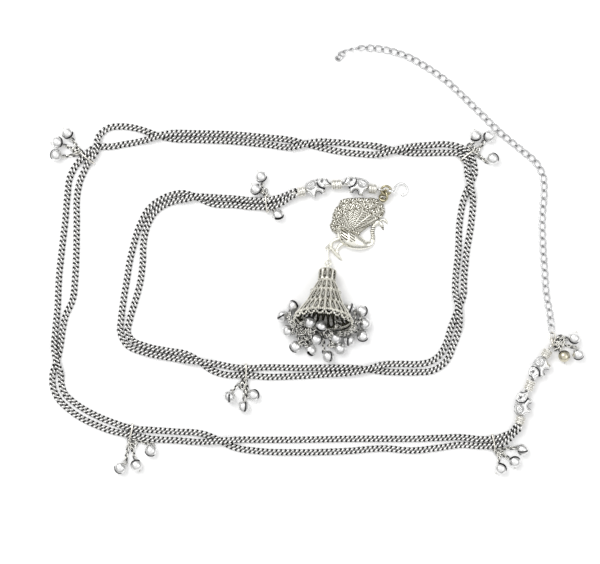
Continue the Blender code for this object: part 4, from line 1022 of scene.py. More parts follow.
start = joint + heading(EXTENDER_FACES) * KNOT_RADIUS
rows = smooth_rows([tuple(start[:2])] + [tuple(plan(*place)[:2]) for place in EXTENDER_ROUTE], 0.5 * MM)
fall = fade(distance_along(rows), 0.0, EXTENDER_FALL)
open_line = np.column_stack((rows, OPEN_REST + (start[2] - OPEN_REST) * fall))
open_count = int(round(distance_along(open_line)[-1] / OPEN_LINK["pitch"])) + 1
open_roll = np.radians(rng.normal(0, OPEN_SHAKE, open_count))
open_roll[-4:-1] = np.radians(LAST_ROLLS)
open_grid = twisted_links(open_line, open_count, OPEN_LINK["half"], OPEN_LINK["wire"], OPEN_TWIST,
                          open_roll, OPEN_POINTS, LINK_SIDES)
open_grid[..., 2] += np.maximum(0.0, 0.01 * MM - open_grid[..., 2].min(axis=(1, 2)))[:, None, None]
open_turn = np.arange(OPEN_POINTS) * math.tau / OPEN_POINTS
ends = soft_step(np.abs(np.cos(open_turn)), 0.80, 1.0)[None, :, None]
piece("open_links", ["single_chain"], [OPEN_METAL],
      [sheet(open_grid[1:], 0.55 * ends, rows_closed=True)], edge=LINK_EDGE)
piece("open_first_link", ["single_chain"], [RING_METAL],
      [sheet(open_grid[:1], 0.4 * ends, rows_closed=True)], edge=LINK_EDGE)
piece("open_end_ring", ["single_chain"], [OPEN_METAL],
      [hoops(plan(*END_RING), UP, END_RING_RADIUS, END_RING_WIRE)])

starts = np.array([joint + heading(15 - 40 * number) * 1.2 * MM - UP * 1.6 * MM for number in range(3)])
three_bells("joint_pair", starts[:2], JOINT_BELLS[:2], ["joint_bell_1", "joint_bell_2"], BELL_METAL)
three_bells("joint_brassy", starts[2:], JOINT_BELLS[2:], ["joint_bell_3"], WARM_BELL_METAL)


# The knot at the first bead wire: thick dark brass rings that carry the hook and the peacock.
# The hook is one piece of stiff bright wire with a turned eye, bent round to a blunt tip.
KNOT_WIRE = 1.20 * MM
LOWER_RING = (383.4, 197.4, 1.6 * MM)
LOWER_RING_RADIUS = 1.85 * MM
SIDE_RING = (386.4, 192.4, 2.6 * MM)
SIDE_RING_RADIUS = 1.15 * MM
HOOK_WIRE = 1.2 * MM
HOOK_EYE_RADIUS = 1.45 * MM
HOOK_HEADING = -10
HOOK_ROUTE = [
    (394.3, 188.4), (397.0, 185.2), (401.2, 183.5), (405.3, 185.3), (407.2, 189.3),
    (405.7, 193.2), (402.2, 195.2),
]
KNOT_RISE = 0.4 * MM
HANGING_EYELET = (382.9, 199.9)
HANGING_EYELET_RADIUS = 1.6 * MM
HANGING_EYELET_HEIGHT = 1.3 * MM
PEACOCK_RING_LEAN = math.radians(48)
HOOK_METAL = silver("hook_bright_wire", (0.93, 0.93, 0.92), (0.25, 0.25, 0.25), 0.16, tarnish=0.10)
KNOT_METAL = silver("knot_brass", (0.44, 0.40, 0.27), (0.025, 0.022, 0.014), 0.24, tarnish=1.5)

knot_arm = bead_places["first"]["arms"][1]
knot = bead_places["first"]["eyes"][1] + knot_arm * (KNOT_RADIUS - (RING_WIRE + BEAD_WIRE) / 2 - GAP)
knot[2] += KNOT_RISE
hole = plan(*HANGING_EYELET, HANGING_EYELET_HEIGHT)
knot_run = unit(hole - knot)
piece("knot_round_ring", ["knot_ring"], [KNOT_METAL],
      [hoops(knot, np.cross(knot_arm, knot_run), KNOT_RADIUS, KNOT_WIRE, around=44, sides=10)])
near = knot + knot_run * (KNOT_RADIUS - RING_WIRE - 1.8 * GAP)
knot_side = side_of(knot_run)
across = knot_side * math.cos(PEACOCK_RING_LEAN) + np.cross(knot_run, knot_side) * math.sin(PEACOCK_RING_LEAN)
knot_normal = np.cross(knot_run, across)
peacock_ring_radius = float(np.linalg.norm(hole - near)) / 2
piece("peacock_round_ring", ["peacock_ring"], [KNOT_METAL],
      [hoops((hole + near) / 2, knot_normal, peacock_ring_radius, KNOT_WIRE, around=44, sides=10),
       hoops(plan(*LOWER_RING), UP * 0.87 + heading(110) * 0.5, LOWER_RING_RADIUS, KNOT_WIRE,
             around=44, sides=10),
       hoops(plan(*SIDE_RING), UP * 0.9 + heading(200) * 0.44, SIDE_RING_RADIUS, 0.8 * KNOT_WIRE, sides=10)])

hook_out = heading(HOOK_HEADING)
hook_eye = knot + hook_out * (KNOT_RADIUS + HOOK_EYE_RADIUS - (HOOK_WIRE + RING_WIRE) / 2 - GAP)
low = HOOK_WIRE / 2
route = [hook_eye + hook_out * HOOK_EYE_RADIUS]
for number, place in enumerate(HOOK_ROUTE, 1):
    share = number / len(HOOK_ROUTE)
    route.append(plan(*place, low + (hook_eye[2] - low) * max(0.0, 1 - 2 * share)))
hook_line = smooth_rows([tuple(point) for point in route], 0.35 * MM)
hook_width = np.full(len(hook_line), HOOK_WIRE / 2)
hook_width[-5:] *= np.array((1.02, 1.06, 1.12, 1.16, 1.12))
hook_line[:, 2] = np.maximum(hook_line[:, 2], hook_width + 0.02 * MM)
piece("fish_hook", ["hook"], [HOOK_METAL],
      [hoops(hook_eye, side_of(hook_out), HOOK_EYE_RADIUS, HOOK_WIRE, around=36, sides=12),
       rod(hook_line, hook_width, sides=14)])


# The peacock: one antiqued casting.  Two layers of feathers with ribs and slanting barbs
# make the fan, each tip an eye of small petals, and olive oxide lies between them.  The
# body is smooth with two rows of cut strokes for the wing, and the neck is ringed.
FLOOR_GAP = 0.02 * MM
FAN_THICKNESS = 1.8 * MM
FAN_EDGE_HEIGHT = 0.9 * MM
FAN_RISE = 0.35 * MM
FAN_REACH = 17 * MM
FAN_SIDES = 240
FAN_ROWS = 84
FAN_SCALLOPS = 40
FAN_SCALLOP = 0.16 * MM
FAN_EDGE = [
    (338.6, 235.6), (331.8, 231.0), (329.6, 225.6), (332.4, 220.4), (332.6, 214.6),
    (335.2, 208.4), (338.6, 205.6), (340.2, 200.8), (345.4, 198.6), (352.4, 198.2),
    (359.6, 197.8), (366.6, 198.4), (372.2, 197.6), (378.2, 199.8), (383.2, 204.8),
    (384.8, 211.8), (382.6, 216.8), (378.6, 219.0), (375.8, 222.8), (370.4, 225.6),
    (362.0, 231.6), (357.0, 237.0), (347.0, 239.0),
]
FEATHER_ROOT = (350.0, 231.0)
OUTER_TIPS = [
    (331.6, 225.6), (333.6, 217.0), (335.8, 208.8), (342.4, 200.6), (350.6, 199.0),
    (358.8, 198.6), (367.0, 199.2), (376.0, 200.6), (383.4, 207.6), (381.4, 216.4),
]
INNER_TIPS = [(338.2, 221.6), (341.0, 211.6), (349.0, 206.8), (356.8, 205.4), (366.6, 206.2), (374.6, 211.4)]
FEATHER_HALF = 2.05 * MM
FEATHER_LIFT = 0.20 * MM
INNER_LIFT = 0.34 * MM
BETWEEN_FEATHERS = 0.62
BARB_PITCH = 1.10 * MM
TIP_PETALS = 10
PEACOCK_BODY = [
    (340.4, 231.6, 2.0), (345.4, 236.6, 3.5), (352.0, 240.4, 4.0), (359.4, 243.6, 3.1),
    (366.0, 244.9, 1.9), (371.4, 243.0, 1.15), (372.9, 238.0, 0.9), (372.4, 231.0, 0.9),
    (374.2, 225.4, 0.95), (378.4, 222.4, 1.25), (380.8, 224.2, 0.95), (383.2, 229.6, 0.3),
]
BODY_FLATTEN = 0.72
BODY_STEP = 0.13 * MM
BODY_SIDES = 120
CUT_DEPTH = 0.26 * MM
WING_SLANT = 0.62
WING_END = 0.3 * MM
# Each row of strokes: left, right, upper and lower ends, spacing down the row and sharpness.
WING_ROWS = [(340.4, 348.2, 228.6, 241.0, 1.50 * MM, -0.05), (349.4, 355.2, 230.0, 242.4, 1.45 * MM, 0.30)]
# The neck's rings start to the right of the first pair and lie between the other two.
NECK_LEFT = (369.6, 370.6)
NECK_LOW = (241, 240)
NECK_HIGH = (226.5, 225.5)
NECK_RING_PITCH = 0.90 * MM
EYE_PLACE = (379.0, 223.0, 1.9 * MM)
PEACOCK_LEGS = [
    [(347.5, 242.4, 1.1), (339.8, 245.9, 0.95), (337.2, 249.8, 0.85), (336.2, 254.3, 0.8)],
    [(343.6, 237.4, 1.0), (336.2, 239.6, 0.95), (331.6, 242.6, 0.85), (329.9, 247.6, 0.8)],
    [(330.2, 246.6, 0.8), (334.6, 252.4, 0.9), (338.4, 256.4, 0.85), (341.2, 259.9, 0.45)],
]
CREST = [(378.2, 222.6, 0.55), (382.0, 219.8, 0.45), (385.6, 220.6, 0.75), (386.6, 223.0, 0.5)]
FOOT_EYELET = (328.0, 247.4)
FOOT_EYELET_RADIUS = 1.15 * MM
FOOT_EYELET_HEIGHT = 1.5 * MM
PENDANT_WIRE = 0.7 * MM
ANTIQUE_METAL = silver("antique_white_metal", (0.93, 0.915, 0.83), (0.065, 0.055, 0.03), 0.26, tarnish=0.30)


def feather_relief(x, y, root, tips, reach):
    """How much of one layer of feathers covers each point, and its lift and oxide.

    About each feather's rib, r is the distance along it and d the distance from it.  The
    feather's half width grows with r to a round tip.  Its barbs are waves of r - 1.1 |d|,
    its rib a thin ridge at d = 0, and its tip petals are waves of the angle about the
    middle of the tip.
    """
    cover, lift, dark = np.zeros_like(x), np.zeros_like(x), np.full_like(x, BETWEEN_FEATHERS)
    for tip in tips:
        run = np.array(tip) - root
        length = float(np.linalg.norm(run)) * reach
        run = run / np.linalg.norm(run)
        along = (x - root[0]) * run[0] + (y - root[1]) * run[1]
        off = (y - root[1]) * run[0] - (x - root[0]) * run[1]
        middle = length - 0.85 * FEATHER_HALF
        half = FEATHER_HALF * (0.30 + 0.70 * soft_step(along, 0.0, 0.75 * length))
        cap = np.hypot(np.maximum(along - middle, 0.0) * 1.15, off)
        inside = fade(cap / half, 0.90, 1.0)
        wave = np.cos((along - 1.1 * np.abs(off)) * math.tau / BARB_PITCH)
        barbs = soft_step(wave, -0.35, 0.55)
        rib = fade(np.abs(off), 0.07 * MM, 0.18 * MM)
        from_tip = along - (middle - 0.35 * FEATHER_HALF)
        petals = soft_step(np.cos(TIP_PETALS * np.arctan2(off, from_tip)), -0.3, 0.4)
        petals = petals * soft_step(np.hypot(from_tip, off) / FEATHER_HALF, 0.22, 0.4)
        at_tip = soft_step(along, middle - 0.45 * FEATHER_HALF, middle - 0.25 * FEATHER_HALF)
        mark = np.where(at_tip > 0.5, petals, np.maximum(barbs * 0.92, rib))
        edge = soft_step(cap / half, 0.80, 0.95)
        own_dark = np.clip(1 - mark + 0.75 * edge, 0, 1)
        own_lift = FEATHER_LIFT * mark * (1 - edge)
        better = inside > cover
        lift = np.where(better, own_lift, lift)
        dark = np.where(better, own_dark, dark)
        cover = np.maximum(cover, inside)
    return cover, lift, dark


fan_root = plan(*FEATHER_ROOT)[:2]
fan_edge = even_outline([plan(*place)[:2] for place in FAN_EDGE], FAN_SIDES)
fan_wave = FAN_SCALLOP * np.cos(np.arange(FAN_SIDES) * math.tau * FAN_SCALLOPS / FAN_SIDES)
fan_edge = fan_edge + unit(fan_edge - fan_root) * fan_wave[:, None]
fan_share = np.linspace(0.02, 1, FAN_ROWS) ** 0.92
fan_flat = fan_root + fan_share[:, None, None] * (fan_edge - fan_root)
fan_x, fan_y = fan_flat[..., 0], fan_flat[..., 1]
_, outer_lift, outer_dark = feather_relief(
    fan_x, fan_y, fan_root, [plan(*tip)[:2] for tip in OUTER_TIPS], 1.03)
inner_cover, inner_lift, inner_dark = feather_relief(
    fan_x, fan_y, fan_root, [plan(*tip)[:2] for tip in INNER_TIPS], 1.02)
fan_lift = np.where(inner_cover > 0.5, inner_lift + INNER_LIFT * inner_cover, outer_lift)
fan_dark = np.where(inner_cover > 0.5, inner_dark, outer_dark)
fan_edge_share = np.clip(to_edge(fan_x, fan_y, fan_edge) / (0.45 * MM), 0, 1)
fan_far = np.linalg.norm(fan_flat - fan_root, axis=-1)
fan_rise = FAN_RISE * np.sin(np.clip(fan_far / FAN_REACH, 0, 1) * math.pi)
fan_top = FAN_EDGE_HEIGHT + (FAN_THICKNESS - FAN_EDGE_HEIGHT) * np.sqrt(1 - (1 - fan_edge_share) ** 2)
fan_top = fan_top + (fan_lift + fan_rise) * fan_edge_share
under_share = np.array((0.97, 0.86, 0.5, 0.02))
under = fan_root + under_share[:, None, None] * (fan_edge - fan_root)
under_height = np.full(under.shape[:2], FLOOR_GAP)
under_height[0] = 0.30 * MM
root_row = np.broadcast_to(fan_root, (1, FAN_SIDES, 2))
fan_levels = np.concatenate((np.full((1, FAN_SIDES), fan_top[0].mean()), fan_top, under_height,
                             np.full((1, FAN_SIDES), FLOOR_GAP)))
fan_rows = np.concatenate((root_row, fan_flat, under, root_row))
fan_grid = np.concatenate((fan_rows, fan_levels[..., None]), axis=-1)
# The fan's side wall and underside are painted dark, as shade.
fan_values = np.concatenate((fan_dark[:1], fan_dark, np.full((5, FAN_SIDES), 0.7)))


def limb_rows(rows, step):
    """A limb's middle line on the table and its half widths, at even steps."""
    return smooth_rows([(*plan(right, down)[:2], half * MM) for right, down, half in rows], step)


body_rows = limb_rows(PEACOCK_BODY, BODY_STEP)
body_points, _, body_faces = rod(body_rows, body_rows[:, 2], sides=BODY_SIDES)
body_points = body_points * np.array((1, 1, BODY_FLATTEN)) + np.array((0, 0, 0.05 * MM))
body_x, body_y = body_points[:, 0], body_points[:, 1]
across_bars = body_x * math.sin(WING_SLANT) + body_y * math.cos(WING_SLANT)
on_top = soft_step(body_points[:, 2], 1.3 * MM, 1.9 * MM)
cut = np.zeros(len(body_points))
for left_end, right_end, upper_end, lower_end, spacing, sharp in WING_ROWS:
    (low_x, high_y), (high_x, low_y) = plan(left_end, upper_end)[:2], plan(right_end, lower_end)[:2]
    bars = soft_step(np.cos(across_bars * math.tau / (spacing * math.cos(WING_SLANT))), sharp, sharp + 0.35)
    row = within(body_x, (low_x, low_x + WING_END), (high_x - WING_END, high_x))
    row = row * within(body_y, (low_y, low_y + WING_END), (high_y - WING_END, high_y))
    cut = np.maximum(cut, bars * row * on_top)
neck_left = [plan(right, 0)[0] for right in NECK_LEFT]
neck_low, neck_high = [[plan(0, down)[1] for down in ends] for ends in (NECK_LOW, NECK_HIGH)]
neck = soft_step(body_x, *neck_left) * within(body_y, neck_low, neck_high)
ringed = neck * soft_step(np.cos(body_y * math.tau / NECK_RING_PITCH), -0.2, 0.3)
# The body's lower sides are painted darker, as shade.
low_side = fade(body_points[:, 2], 0.3 * MM, 1.3 * MM)
ring_cut = 0.5 * ringed * soft_step(body_points[:, 2], 0.5 * MM, 1.0 * MM)
body_points[:, 2] -= CUT_DEPTH * np.maximum(cut, ring_cut)
body_values = np.clip(cut + 0.9 * ringed + 0.60 * low_side, 0, 1)

limbs = []
for number, limb in enumerate(PEACOCK_LEGS + [CREST]):
    rows = limb_rows(limb, 0.4 * MM)
    height = rows[:, 2] + (0.05 + 0.03 * number) * MM
    limbs.append(rod(np.column_stack((rows[:, :2], height)), rows[:, 2], sides=14, recess=0.12))
piece("cast_peacock", ["peacock"], [ANTIQUE_METAL], [
    sheet(fan_grid[None], fan_values[None]), (body_points, body_values, body_faces), *limbs,
    hoops(plan(*HANGING_EYELET, HANGING_EYELET_HEIGHT), UP, HANGING_EYELET_RADIUS, PENDANT_WIRE),
    hoops(plan(*FOOT_EYELET, FOOT_EYELET_HEIGHT), UP, FOOT_EYELET_RADIUS, PENDANT_WIRE),
    hoops(plan(*EYE_PLACE), UP, 0.34 * MM, 0.2 * MM, around=20, sides=6, recess=0.3)])


# The long link and the small ring: bent and closed from one thickness of wire, they hang
# the bell drop from the peacock's foot.
LINK_LENGTH = 6.8 * MM
LINK_WIDTH = 2.9 * MM
DROP_RING_RADIUS = 1.4 * MM
DROP_LENGTH = 26.4 * MM
DROP_RIM_RADIUS = 14.0 * MM
DROP_WALL = 0.9 * MM
DROP_EYELET_RADIUS = 1.25 * MM
DROP_HEADING = -95.4
DROP_TOP_EDGE = (0.030, 0.25)

edge_distance = DROP_TOP_EDGE[0] * DROP_LENGTH - 0.6 * DROP_WALL
edge_radius = DROP_TOP_EDGE[1] * DROP_RIM_RADIUS + 0.6 * DROP_WALL
drop_tilt = math.atan2(DROP_RIM_RADIUS + 0.44 * DROP_WALL - edge_radius,
                       DROP_LENGTH - 0.25 * DROP_WALL - edge_distance)
drop_height = edge_radius * math.cos(drop_tilt) - edge_distance * math.sin(drop_tilt)
down_way = heading(-90)
link_height = drop_height - DROP_EYELET_RADIUS * math.sin(drop_tilt)
link_inside = PENDANT_WIRE + GAP
link_near = plan(*FOOT_EYELET, FOOT_EYELET_HEIGHT) + down_way * (FOOT_EYELET_RADIUS - link_inside)
link_slope = (link_height - link_near[2]) / (LINK_LENGTH - link_inside)
link_far = link_near + down_way * LINK_LENGTH
link_far[2] = link_height + link_slope * link_inside
link_run = unit(link_far - link_near)
link_up = np.cross(link_run, side_of(down_way))
link_up = link_up / np.linalg.norm(link_up)
link_half = (LINK_WIDTH - PENDANT_WIRE) / 2
bend = np.radians(np.linspace(-90, 90, 15))
far_end = (link_far - link_run * link_half + np.cos(bend)[:, None] * link_run * link_half
           + np.sin(bend)[:, None] * link_up * link_half)
near_end = (link_near + link_run * link_half - np.cos(bend)[:, None] * link_run * link_half
            - np.sin(bend)[:, None] * link_up * link_half)
link_line = np.concatenate((far_end, near_end))[None]
link_normal = np.broadcast_to(np.cross(link_run, link_up), link_line.shape)
ring_centre = link_far + down_way * (DROP_RING_RADIUS - PENDANT_WIRE - GAP)
ring_centre[2] = link_height
piece("long_link", ["pendant_link"], [ANTIQUE_METAL],
      [sheet(swept(link_line, link_normal, PENDANT_WIRE / 2, 10, True), 0.1, rows_closed=True)])
piece("small_ring", ["pendant_ring"], [ANTIQUE_METAL],
      [hoops(ring_centre, UP, DROP_RING_RADIUS, PENDANT_WIRE)])


# The bell drop: an antiqued hollow bell in three tiers, cut through with pointed arches
# that hold small rings, with beaded wire at each tier and a scalloped rim.
DROP_PROFILE = [
    (0.000, 0.13), (0.030, 0.25), (0.075, 0.27), (0.225, 0.27), (0.265, 0.25), (0.310, 0.31),
    (0.440, 0.43), (0.480, 0.44), (0.530, 0.47), (0.700, 0.62), (0.750, 0.68), (0.930, 0.90), (1.000, 1.00),
]
# Each pierced band: where it starts and ends, its number of arches, and the open share.
DROP_BANDS = [(0.050, 0.245, 10, 0.60), (0.285, 0.462, 16, 0.62), (0.492, 0.722, 21, 0.66),
              (0.735, 0.965, 28, 0.66)]
BAND_WALL = 0.62 * MM
# From one arch to the next: a bar, the arch's two sides and a bar; how far each stands out, and
# its oxide.
ARCH_LIFT = np.array((0.42, 0.12, 0.0, 0.0, 0.12)) * MM
ARCH_OXIDE = np.array((0.0, 0.55, 1.0, 1.0, 0.55))
# The two rings in each arch: place down the band and size beside each other; then what the size is
# times, the most that it is times, and the wire.
ARCH_RINGS = ((0.60, 0.62), (0.36, 0.40))
ARCH_RING_SHARE = 0.72 / 0.62
ARCH_RING_MOST = 1.1 * MM
ARCH_RING_WIRE = 0.28 * MM
# Each beaded wire: its place down the drop, its width in millimetres and its grains.
DROP_RINGS = [(0.045, 1.0, 26), (0.245, 1.1, 26), (0.277, 1.0, 30), (0.468, 1.15, 44), (0.728, 1.1, 60),
              (0.970, 1.2, 84)]
RIM_BEADS = (0.992, 1.00, 105)
RIM_SCALLOPS = 21
RIM_WAVE = 2.0 * MM
# The cap, as shares of the drop's length and rim, then the collars and how they stand out.
DROP_CAP = [(0.0, 0.0), (0.01, 0.16), (0.025, 0.235), (0.045, 0.262), (0.060, 0.275), (0.060, 0.20),
            (0.03, 0.16), (0.006, 0.0)]
COLLARS = (0.262, 0.48)
COLLAR_PROFILE = [(-0.016, 0.20 * MM), (0.0, 0.34 * MM), (0.016, 0.20 * MM), (0.016, -0.4 * MM),
                  (-0.016, -0.4 * MM)]
DANGLES = 12
DANGLE_PLACE = 0.475
DANGLE_OUT = 0.75 * MM
DANGLE_RADIUS = 0.62 * MM
DANGLE_WIRE = 0.36 * MM
# The drop's inner faces are painted dark, as shade inside the hollow bell.
DROP_INSIDE_SHADE = silver("drop_inside_painted_shade", (0.10, 0.095, 0.07), (0.02, 0.02, 0.015), 0.50, tarnish=0.5)

drop_level = heading(DROP_HEADING)
drop_axis = drop_level * math.cos(drop_tilt) + UP * math.sin(drop_tilt)
drop_upper = UP * math.cos(drop_tilt) - drop_level * math.sin(drop_tilt)
drop_right = side_of(drop_level)
drop_eyelet = ring_centre + down_way * (DROP_RING_RADIUS + DROP_EYELET_RADIUS - PENDANT_WIRE - GAP)
drop_top = drop_eyelet + drop_axis * DROP_EYELET_RADIUS
drop_top[2] = drop_height


def round_axis(distance, radius, angle):
    """The drop's place at a distance down its axis, a radius from it and an angle round it."""
    distance, radius, angle = np.broadcast_arrays(distance, radius, angle)
    outward = np.cos(angle)[..., None] * drop_upper + np.sin(angle)[..., None] * drop_right
    return drop_top + distance[..., None] * drop_axis + radius[..., None] * outward


def drop_radius(share):
    """The drop's radius at a share of its length, from its profile's rows."""
    shares, radii = np.array(DROP_PROFILE).T
    return np.interp(share, shares, radii) * DROP_RIM_RADIUS


def pierced_band(start, end, count, open_share):
    """A tier with arches cut through it.

    Five columns serve each arch.  Two of them follow its sides: half its width is the
    open share times the root of 1 - t^2, with t from -1 at its foot to 1 at its point,
    drawn to a point above.  The cells between them are left out.  Bars are raised.
    """
    t = np.array((-1.25, -1.02, -1.0, -0.92, -0.75, -0.45, -0.1, 0.25, 0.5, 0.7, 0.85, 0.95, 1.0, 1.02, 1.25))
    share = end - (t - t[0]) / (t[-1] - t[0]) * (end - start)
    body = np.clip(1 - t ** 2, 0, 1)
    point = np.where(t > 0, (1 - t.clip(0, 1)) ** 0.55, 1)
    width = 0.5 * open_share * np.minimum(body ** 0.5 * 1.15, 1) * point
    half = np.where(np.abs(t) < 1, width, 0.0)[:, None]
    beside = 0.5 * (0.5 - half)
    places = np.concatenate((0 * half, beside, 0.5 - half, 0.5 + half, 1 - beside), axis=1)
    angle = (np.arange(count)[None, :, None] + places[:, None]) * math.tau / count
    radius = drop_radius(share)[:, None, None] + ARCH_LIFT
    grid = round_axis((share * DROP_LENGTH)[:, None, None], radius, angle)
    columns = 5 * count
    kept = np.ones((len(t) - 1, count, 5), dtype=bool)
    cut_rows = (half[:-1, 0] > 0) | (half[1:, 0] > 0)
    kept[:, :, 2] = ~cut_rows[:, None]
    dark = np.broadcast_to(ARCH_OXIDE, angle.shape)
    return sheet(grid.reshape(1, len(t), columns, 3), dark.reshape(1, len(t), columns),
                 kept=kept.reshape(len(t) - 1, columns))


def beaded_ring(share, width, grains, wave=0.0):
    """Beaded wire round the drop: its thickness is a wave of the angle, one for each grain.

    With a wave it also bows down the axis, by the wave times the size of the sine of half
    the angle times the number of scallops.
    """
    angle = np.arange(grains * 6) * math.tau / (grains * 6)
    thick = width * MM * 0.5 * (0.72 + 0.28 * np.cos(angle * grains))
    bow = wave * np.abs(np.sin(angle * RIM_SCALLOPS / 2))
    line = round_axis(share * DROP_LENGTH + bow, drop_radius(share), angle)
    outward = line - round_axis(share * DROP_LENGTH, 0.0, angle)
    grid = swept(line[None], outward[None], thick[None], 6, True)
    dark = np.broadcast_to(0.45 * (1 - np.cos(angle * grains))[None, :, None] / 2, grid.shape[:3])
    return sheet(grid, dark, rows_closed=True)


def turned(profile, around, recess):
    """A closed turned form: each profile point, a distance and a radius, taken round the axis."""
    distance, radius = np.array(profile).T
    angle = np.arange(around) * math.tau / around
    return sheet(round_axis(distance[:, None], radius[:, None], angle)[None], recess, rows_closed=True)


def walled(sheets, wall):
    """The sheets given a wall of even thickness; faces toward the axis have the second metal, which is
    painted shade.
    """
    mesh = mesh_of(sheets)
    thing = bpy.data.objects.new("walled", mesh)
    bpy.context.scene.collection.objects.link(thing)
    step = thing.modifiers.new("wall", "SOLIDIFY")
    step.thickness = wall
    step.offset = 0.0
    made = bpy.data.meshes.new_from_object(thing.evaluated_get(bpy.context.evaluated_depsgraph_get()))
    bpy.data.objects.remove(thing)
    facing, middle = np.empty((2, len(made.polygons) * 3))
    made.polygons.foreach_get("normal", facing)
    made.polygons.foreach_get("center", middle)
    outward = middle.reshape(-1, 3) - drop_top
    outward = outward - (outward @ drop_axis)[:, None] * drop_axis
    inner = np.sum(facing.reshape(-1, 3) * outward, axis=1) < 0
    made.polygons.foreach_set("material_index", inner.astype(np.int32))
    return made


def joined(meshes):
    """Several meshes as one."""
    form = bmesh.new()
    for mesh in meshes:
        form.from_mesh(mesh)
    whole = bpy.data.meshes.new("joined")
    form.to_mesh(whole)
    form.free()
    return whole


drop_shell = walled([pierced_band(*band) for band in DROP_BANDS], BAND_WALL)
drop_cap = turned([(share * DROP_LENGTH, radius * DROP_RIM_RADIUS) for share, radius in DROP_CAP], 48, 0.15)
collars = [beaded_ring(*ring) for ring in DROP_RINGS]
for share in COLLARS:
    profile = [((share + along) * DROP_LENGTH, drop_radius(share) + out) for along, out in COLLAR_PROFILE]
    collars.append(turned(profile, 56, 0.25))
collars.append(beaded_ring(*RIM_BEADS, wave=RIM_WAVE))

arch_rings = []
for start_share, end_share, count, _ in DROP_BANDS:
    for at, size in ARCH_RINGS:
        share = start_share + at * (end_share - start_share)
        angle = (np.arange(count) + 0.5) * math.tau / count
        radius = drop_radius(share)
        ring_size = min(0.27 * math.tau * radius / count, ARCH_RING_MOST) * size * ARCH_RING_SHARE
        centres = round_axis(share * DROP_LENGTH, radius, angle)
        outward = centres - round_axis(share * DROP_LENGTH, 0.0, angle)
        arch_rings.append(hoops(centres, outward, ring_size, ARCH_RING_WIRE, around=14, sides=5, recess=0.1))
dangle_angle = (np.arange(DANGLES) + 0.5) * math.tau / DANGLES
dangle_at = DANGLE_PLACE * DROP_LENGTH
dangle_places = round_axis(dangle_at, drop_radius(DANGLE_PLACE) + DANGLE_OUT, dangle_angle)
dangle_ways = round_axis(dangle_at, 1.0, dangle_angle + math.pi / 2) - drop_top - dangle_at * drop_axis
dangles = hoops(dangle_places, dangle_ways, DANGLE_RADIUS, DANGLE_WIRE, around=16, sides=5, recess=0.3)
eyelet = hoops(drop_top - drop_axis * DROP_EYELET_RADIUS, drop_right, DROP_EYELET_RADIUS, PENDANT_WIRE)
piece("pierced_drop", ["bell_drop"], [ANTIQUE_METAL, DROP_INSIDE_SHADE],
      joined([drop_shell, mesh_of([drop_cap, *collars, *arch_rings, dangles, eyelet])]))


# The drop's fringe: a ring of wire inside the rim, painted black as shade, and sixteen bells on short
# blackened chains with painted shade on their lower halves, with loose loops and heaps of the same chain
# along it.
RIM_WIRE = 0.9 * MM
SCALLOP_DEPTH = 0.7 * MM
DROP_CHAIN_WIDTH = 1.5 * MM
# A bell is held off the table past this height, in bell diameters, and is at the side of the rim
# up to this angle.
HIGH_BELL = 0.6
SIDE_BELL = 130
CHAIN_FLOOR = 0.75 * MM
CLUMP_TURNS = 7
# The angle round the rim, the bell's place on the plan and its height in bell diameters,
# the way its slit faces, how far up, and how far the slit is turned.
RIM_BELLS = [
    (-96, 293.1, 305.9, 0.5, 60, 42, 70), (-104, 282.6, 315.7, 0.5, 205, 52, 6),
    (-113, 287.5, 330.5, 0.5, 150, -25, 90), (-124, 295.2, 346.6, 0.5, -142, 28, 90),
    (-140, 310.7, 350.1, 0.5, -80, 28, 40), (-156, 316.3, 339.2, 0.5, -5, 26, 90),
    (178, 328.2, 356.2, 0.5, 4, 58, 84), (158, 340.2, 348.6, 0.5, -70, -10, 90),
    (166, 336.0, 337.8, 0.5, 60, -20, 60), (142, 348.9, 339.8, 0.5, -115, 58, 24),
    (126, 362.6, 336.1, 0.5, -88, 30, 90), (115, 364.9, 323.6, 0.5, -60, -5, 80),
    (104, 361.9, 310.9, 0.5, -6, 31, 90), (94, 349.3, 308.6, 0.5, 40, 62, 30),
    (-150, 309.3, 321.6, 1.22, 100, 30, 80), (176, 321.0, 326.0, 1.0, -90, 40, 70),
]
# Loops along the rim: first and last angle, and millimetres out and under.
RIM_LOOPS = [(96, 150, 1.3, 0.6), (100, 160, 0.2, 1.2), (-98, -165, 1.4, 0.8), (-110, -172, 0.3, 1.5),
             (-125, -178, 2.2, 0.4), (118, 172, -0.9, 1.0), (-104, -150, -0.8, 0.3)]
# Heaps of loose chain: place on the plan, height, reach to the sides and reach up and down.
CHAIN_CLUMPS = [
    (298, 318, 5.0 * MM, 3.0 * MM, 2.2 * MM), (301, 328, 4.2 * MM, 3.4 * MM, 2.2 * MM),
    (306, 335, 3.2 * MM, 3.0 * MM, 1.8 * MM), (304, 342, 2.2 * MM, 2.6 * MM, 1.2 * MM),
    (312, 330, 3.6 * MM, 2.8 * MM, 1.8 * MM), (346, 316, 8.0 * MM, 2.8 * MM, 2.4 * MM),
    (350, 326, 5.0 * MM, 3.0 * MM, 2.4 * MM), (344, 332, 3.0 * MM, 2.6 * MM, 1.8 * MM),
    (327, 333, 3.0 * MM, 2.4 * MM, 1.6 * MM), (332, 344, 1.8 * MM, 1.6 * MM, 0.8 * MM),
    (304, 322, 6.0 * MM, 2.4 * MM, 1.6 * MM), (338, 324, 5.0 * MM, 1.8 * MM, 1.6 * MM),
]

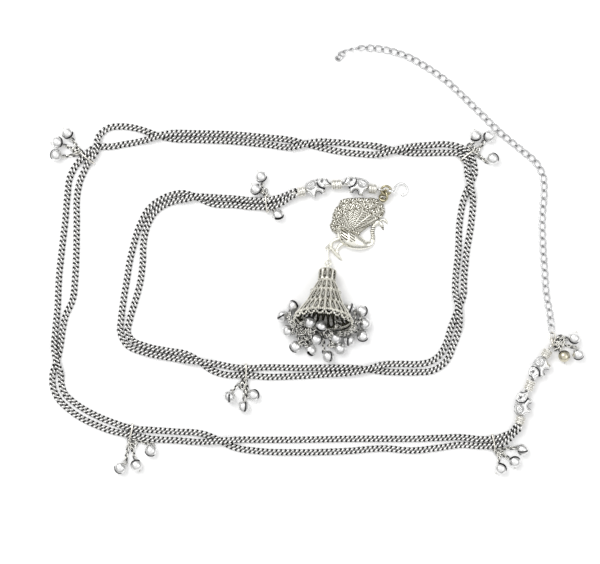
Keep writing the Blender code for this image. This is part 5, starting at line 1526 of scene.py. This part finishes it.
rim_distance = DROP_LENGTH + SCALLOP_DEPTH + 1.5 * GAP + RIM_WIRE / 2
rim_angles, rim_across, rim_down, rim_heights, *rim_poses = np.array(RIM_BELLS, dtype=float).T
rim_starts = round_axis(rim_distance + DROP_CHAIN_WIDTH / 3, DROP_RIM_RADIUS, np.radians(rim_angles))
rim_places = np.array([plan(a, d, h * 2 * BELL_RADIUS) for a, d, h in zip(rim_across, rim_down, rim_heights)])
rim_shells, rim_loops, rim_held = bells(rim_places, *rim_poses)
rim_ends = np.where((rim_heights > HIGH_BELL)[:, None], rim_held, reached(rim_starts, rim_places, rim_held))
piece("fringe_bells", ["bell_drop_fringe"], [BELL_METAL], rim_shells)
# The wire ring inside the rim is painted black all over, as shade inside the drop's mouth.
rim_chains = [hoops(drop_top + drop_axis * (rim_distance - RIM_WIRE), drop_axis, DROP_RIM_RADIUS - RIM_WIRE,
                    0.6 * RIM_WIRE, around=72, recess=1.0), rim_loops]
for number, (angle, begin, end, high) in enumerate(zip(rim_angles, rim_starts, rim_ends, rim_heights)):
    outward = unit(begin - drop_top - drop_axis * rim_distance)
    points = [begin]
    if high > HIGH_BELL:
        points.append(begin + drop_axis * DROP_CHAIN_WIDTH * 0.4 - outward * DROP_CHAIN_WIDTH)
    elif abs(angle) < SIDE_BELL:
        points.append(begin + outward * DROP_CHAIN_WIDTH)
    points.append(end)
    points = np.array(points)
    points[:, 2] = np.maximum(points[:, 2], CHAIN_FLOOR)
    rim_chains.append(short_links(points, roll=0.5 * number))
for first, last, out, under_rim in RIM_LOOPS:
    angle = np.radians(np.linspace(first, last, 9))
    points = round_axis(rim_distance + under_rim * MM, DROP_RIM_RADIUS + out * MM, angle)
    points[:, 2] = np.maximum(points[:, 2], CHAIN_FLOOR)
    rim_chains.append(short_links(points, roll=first))
for across, down, height, reach, rise in CHAIN_CLUMPS:
    rim_chains.append(chain_heap(plan(across, down, height), reach, rise, CLUMP_TURNS))
piece("fringe_short_chains", ["bell_drop_fringe"], [DARK_LINK_METAL], rim_chains,
      edge=LINK_EDGE)
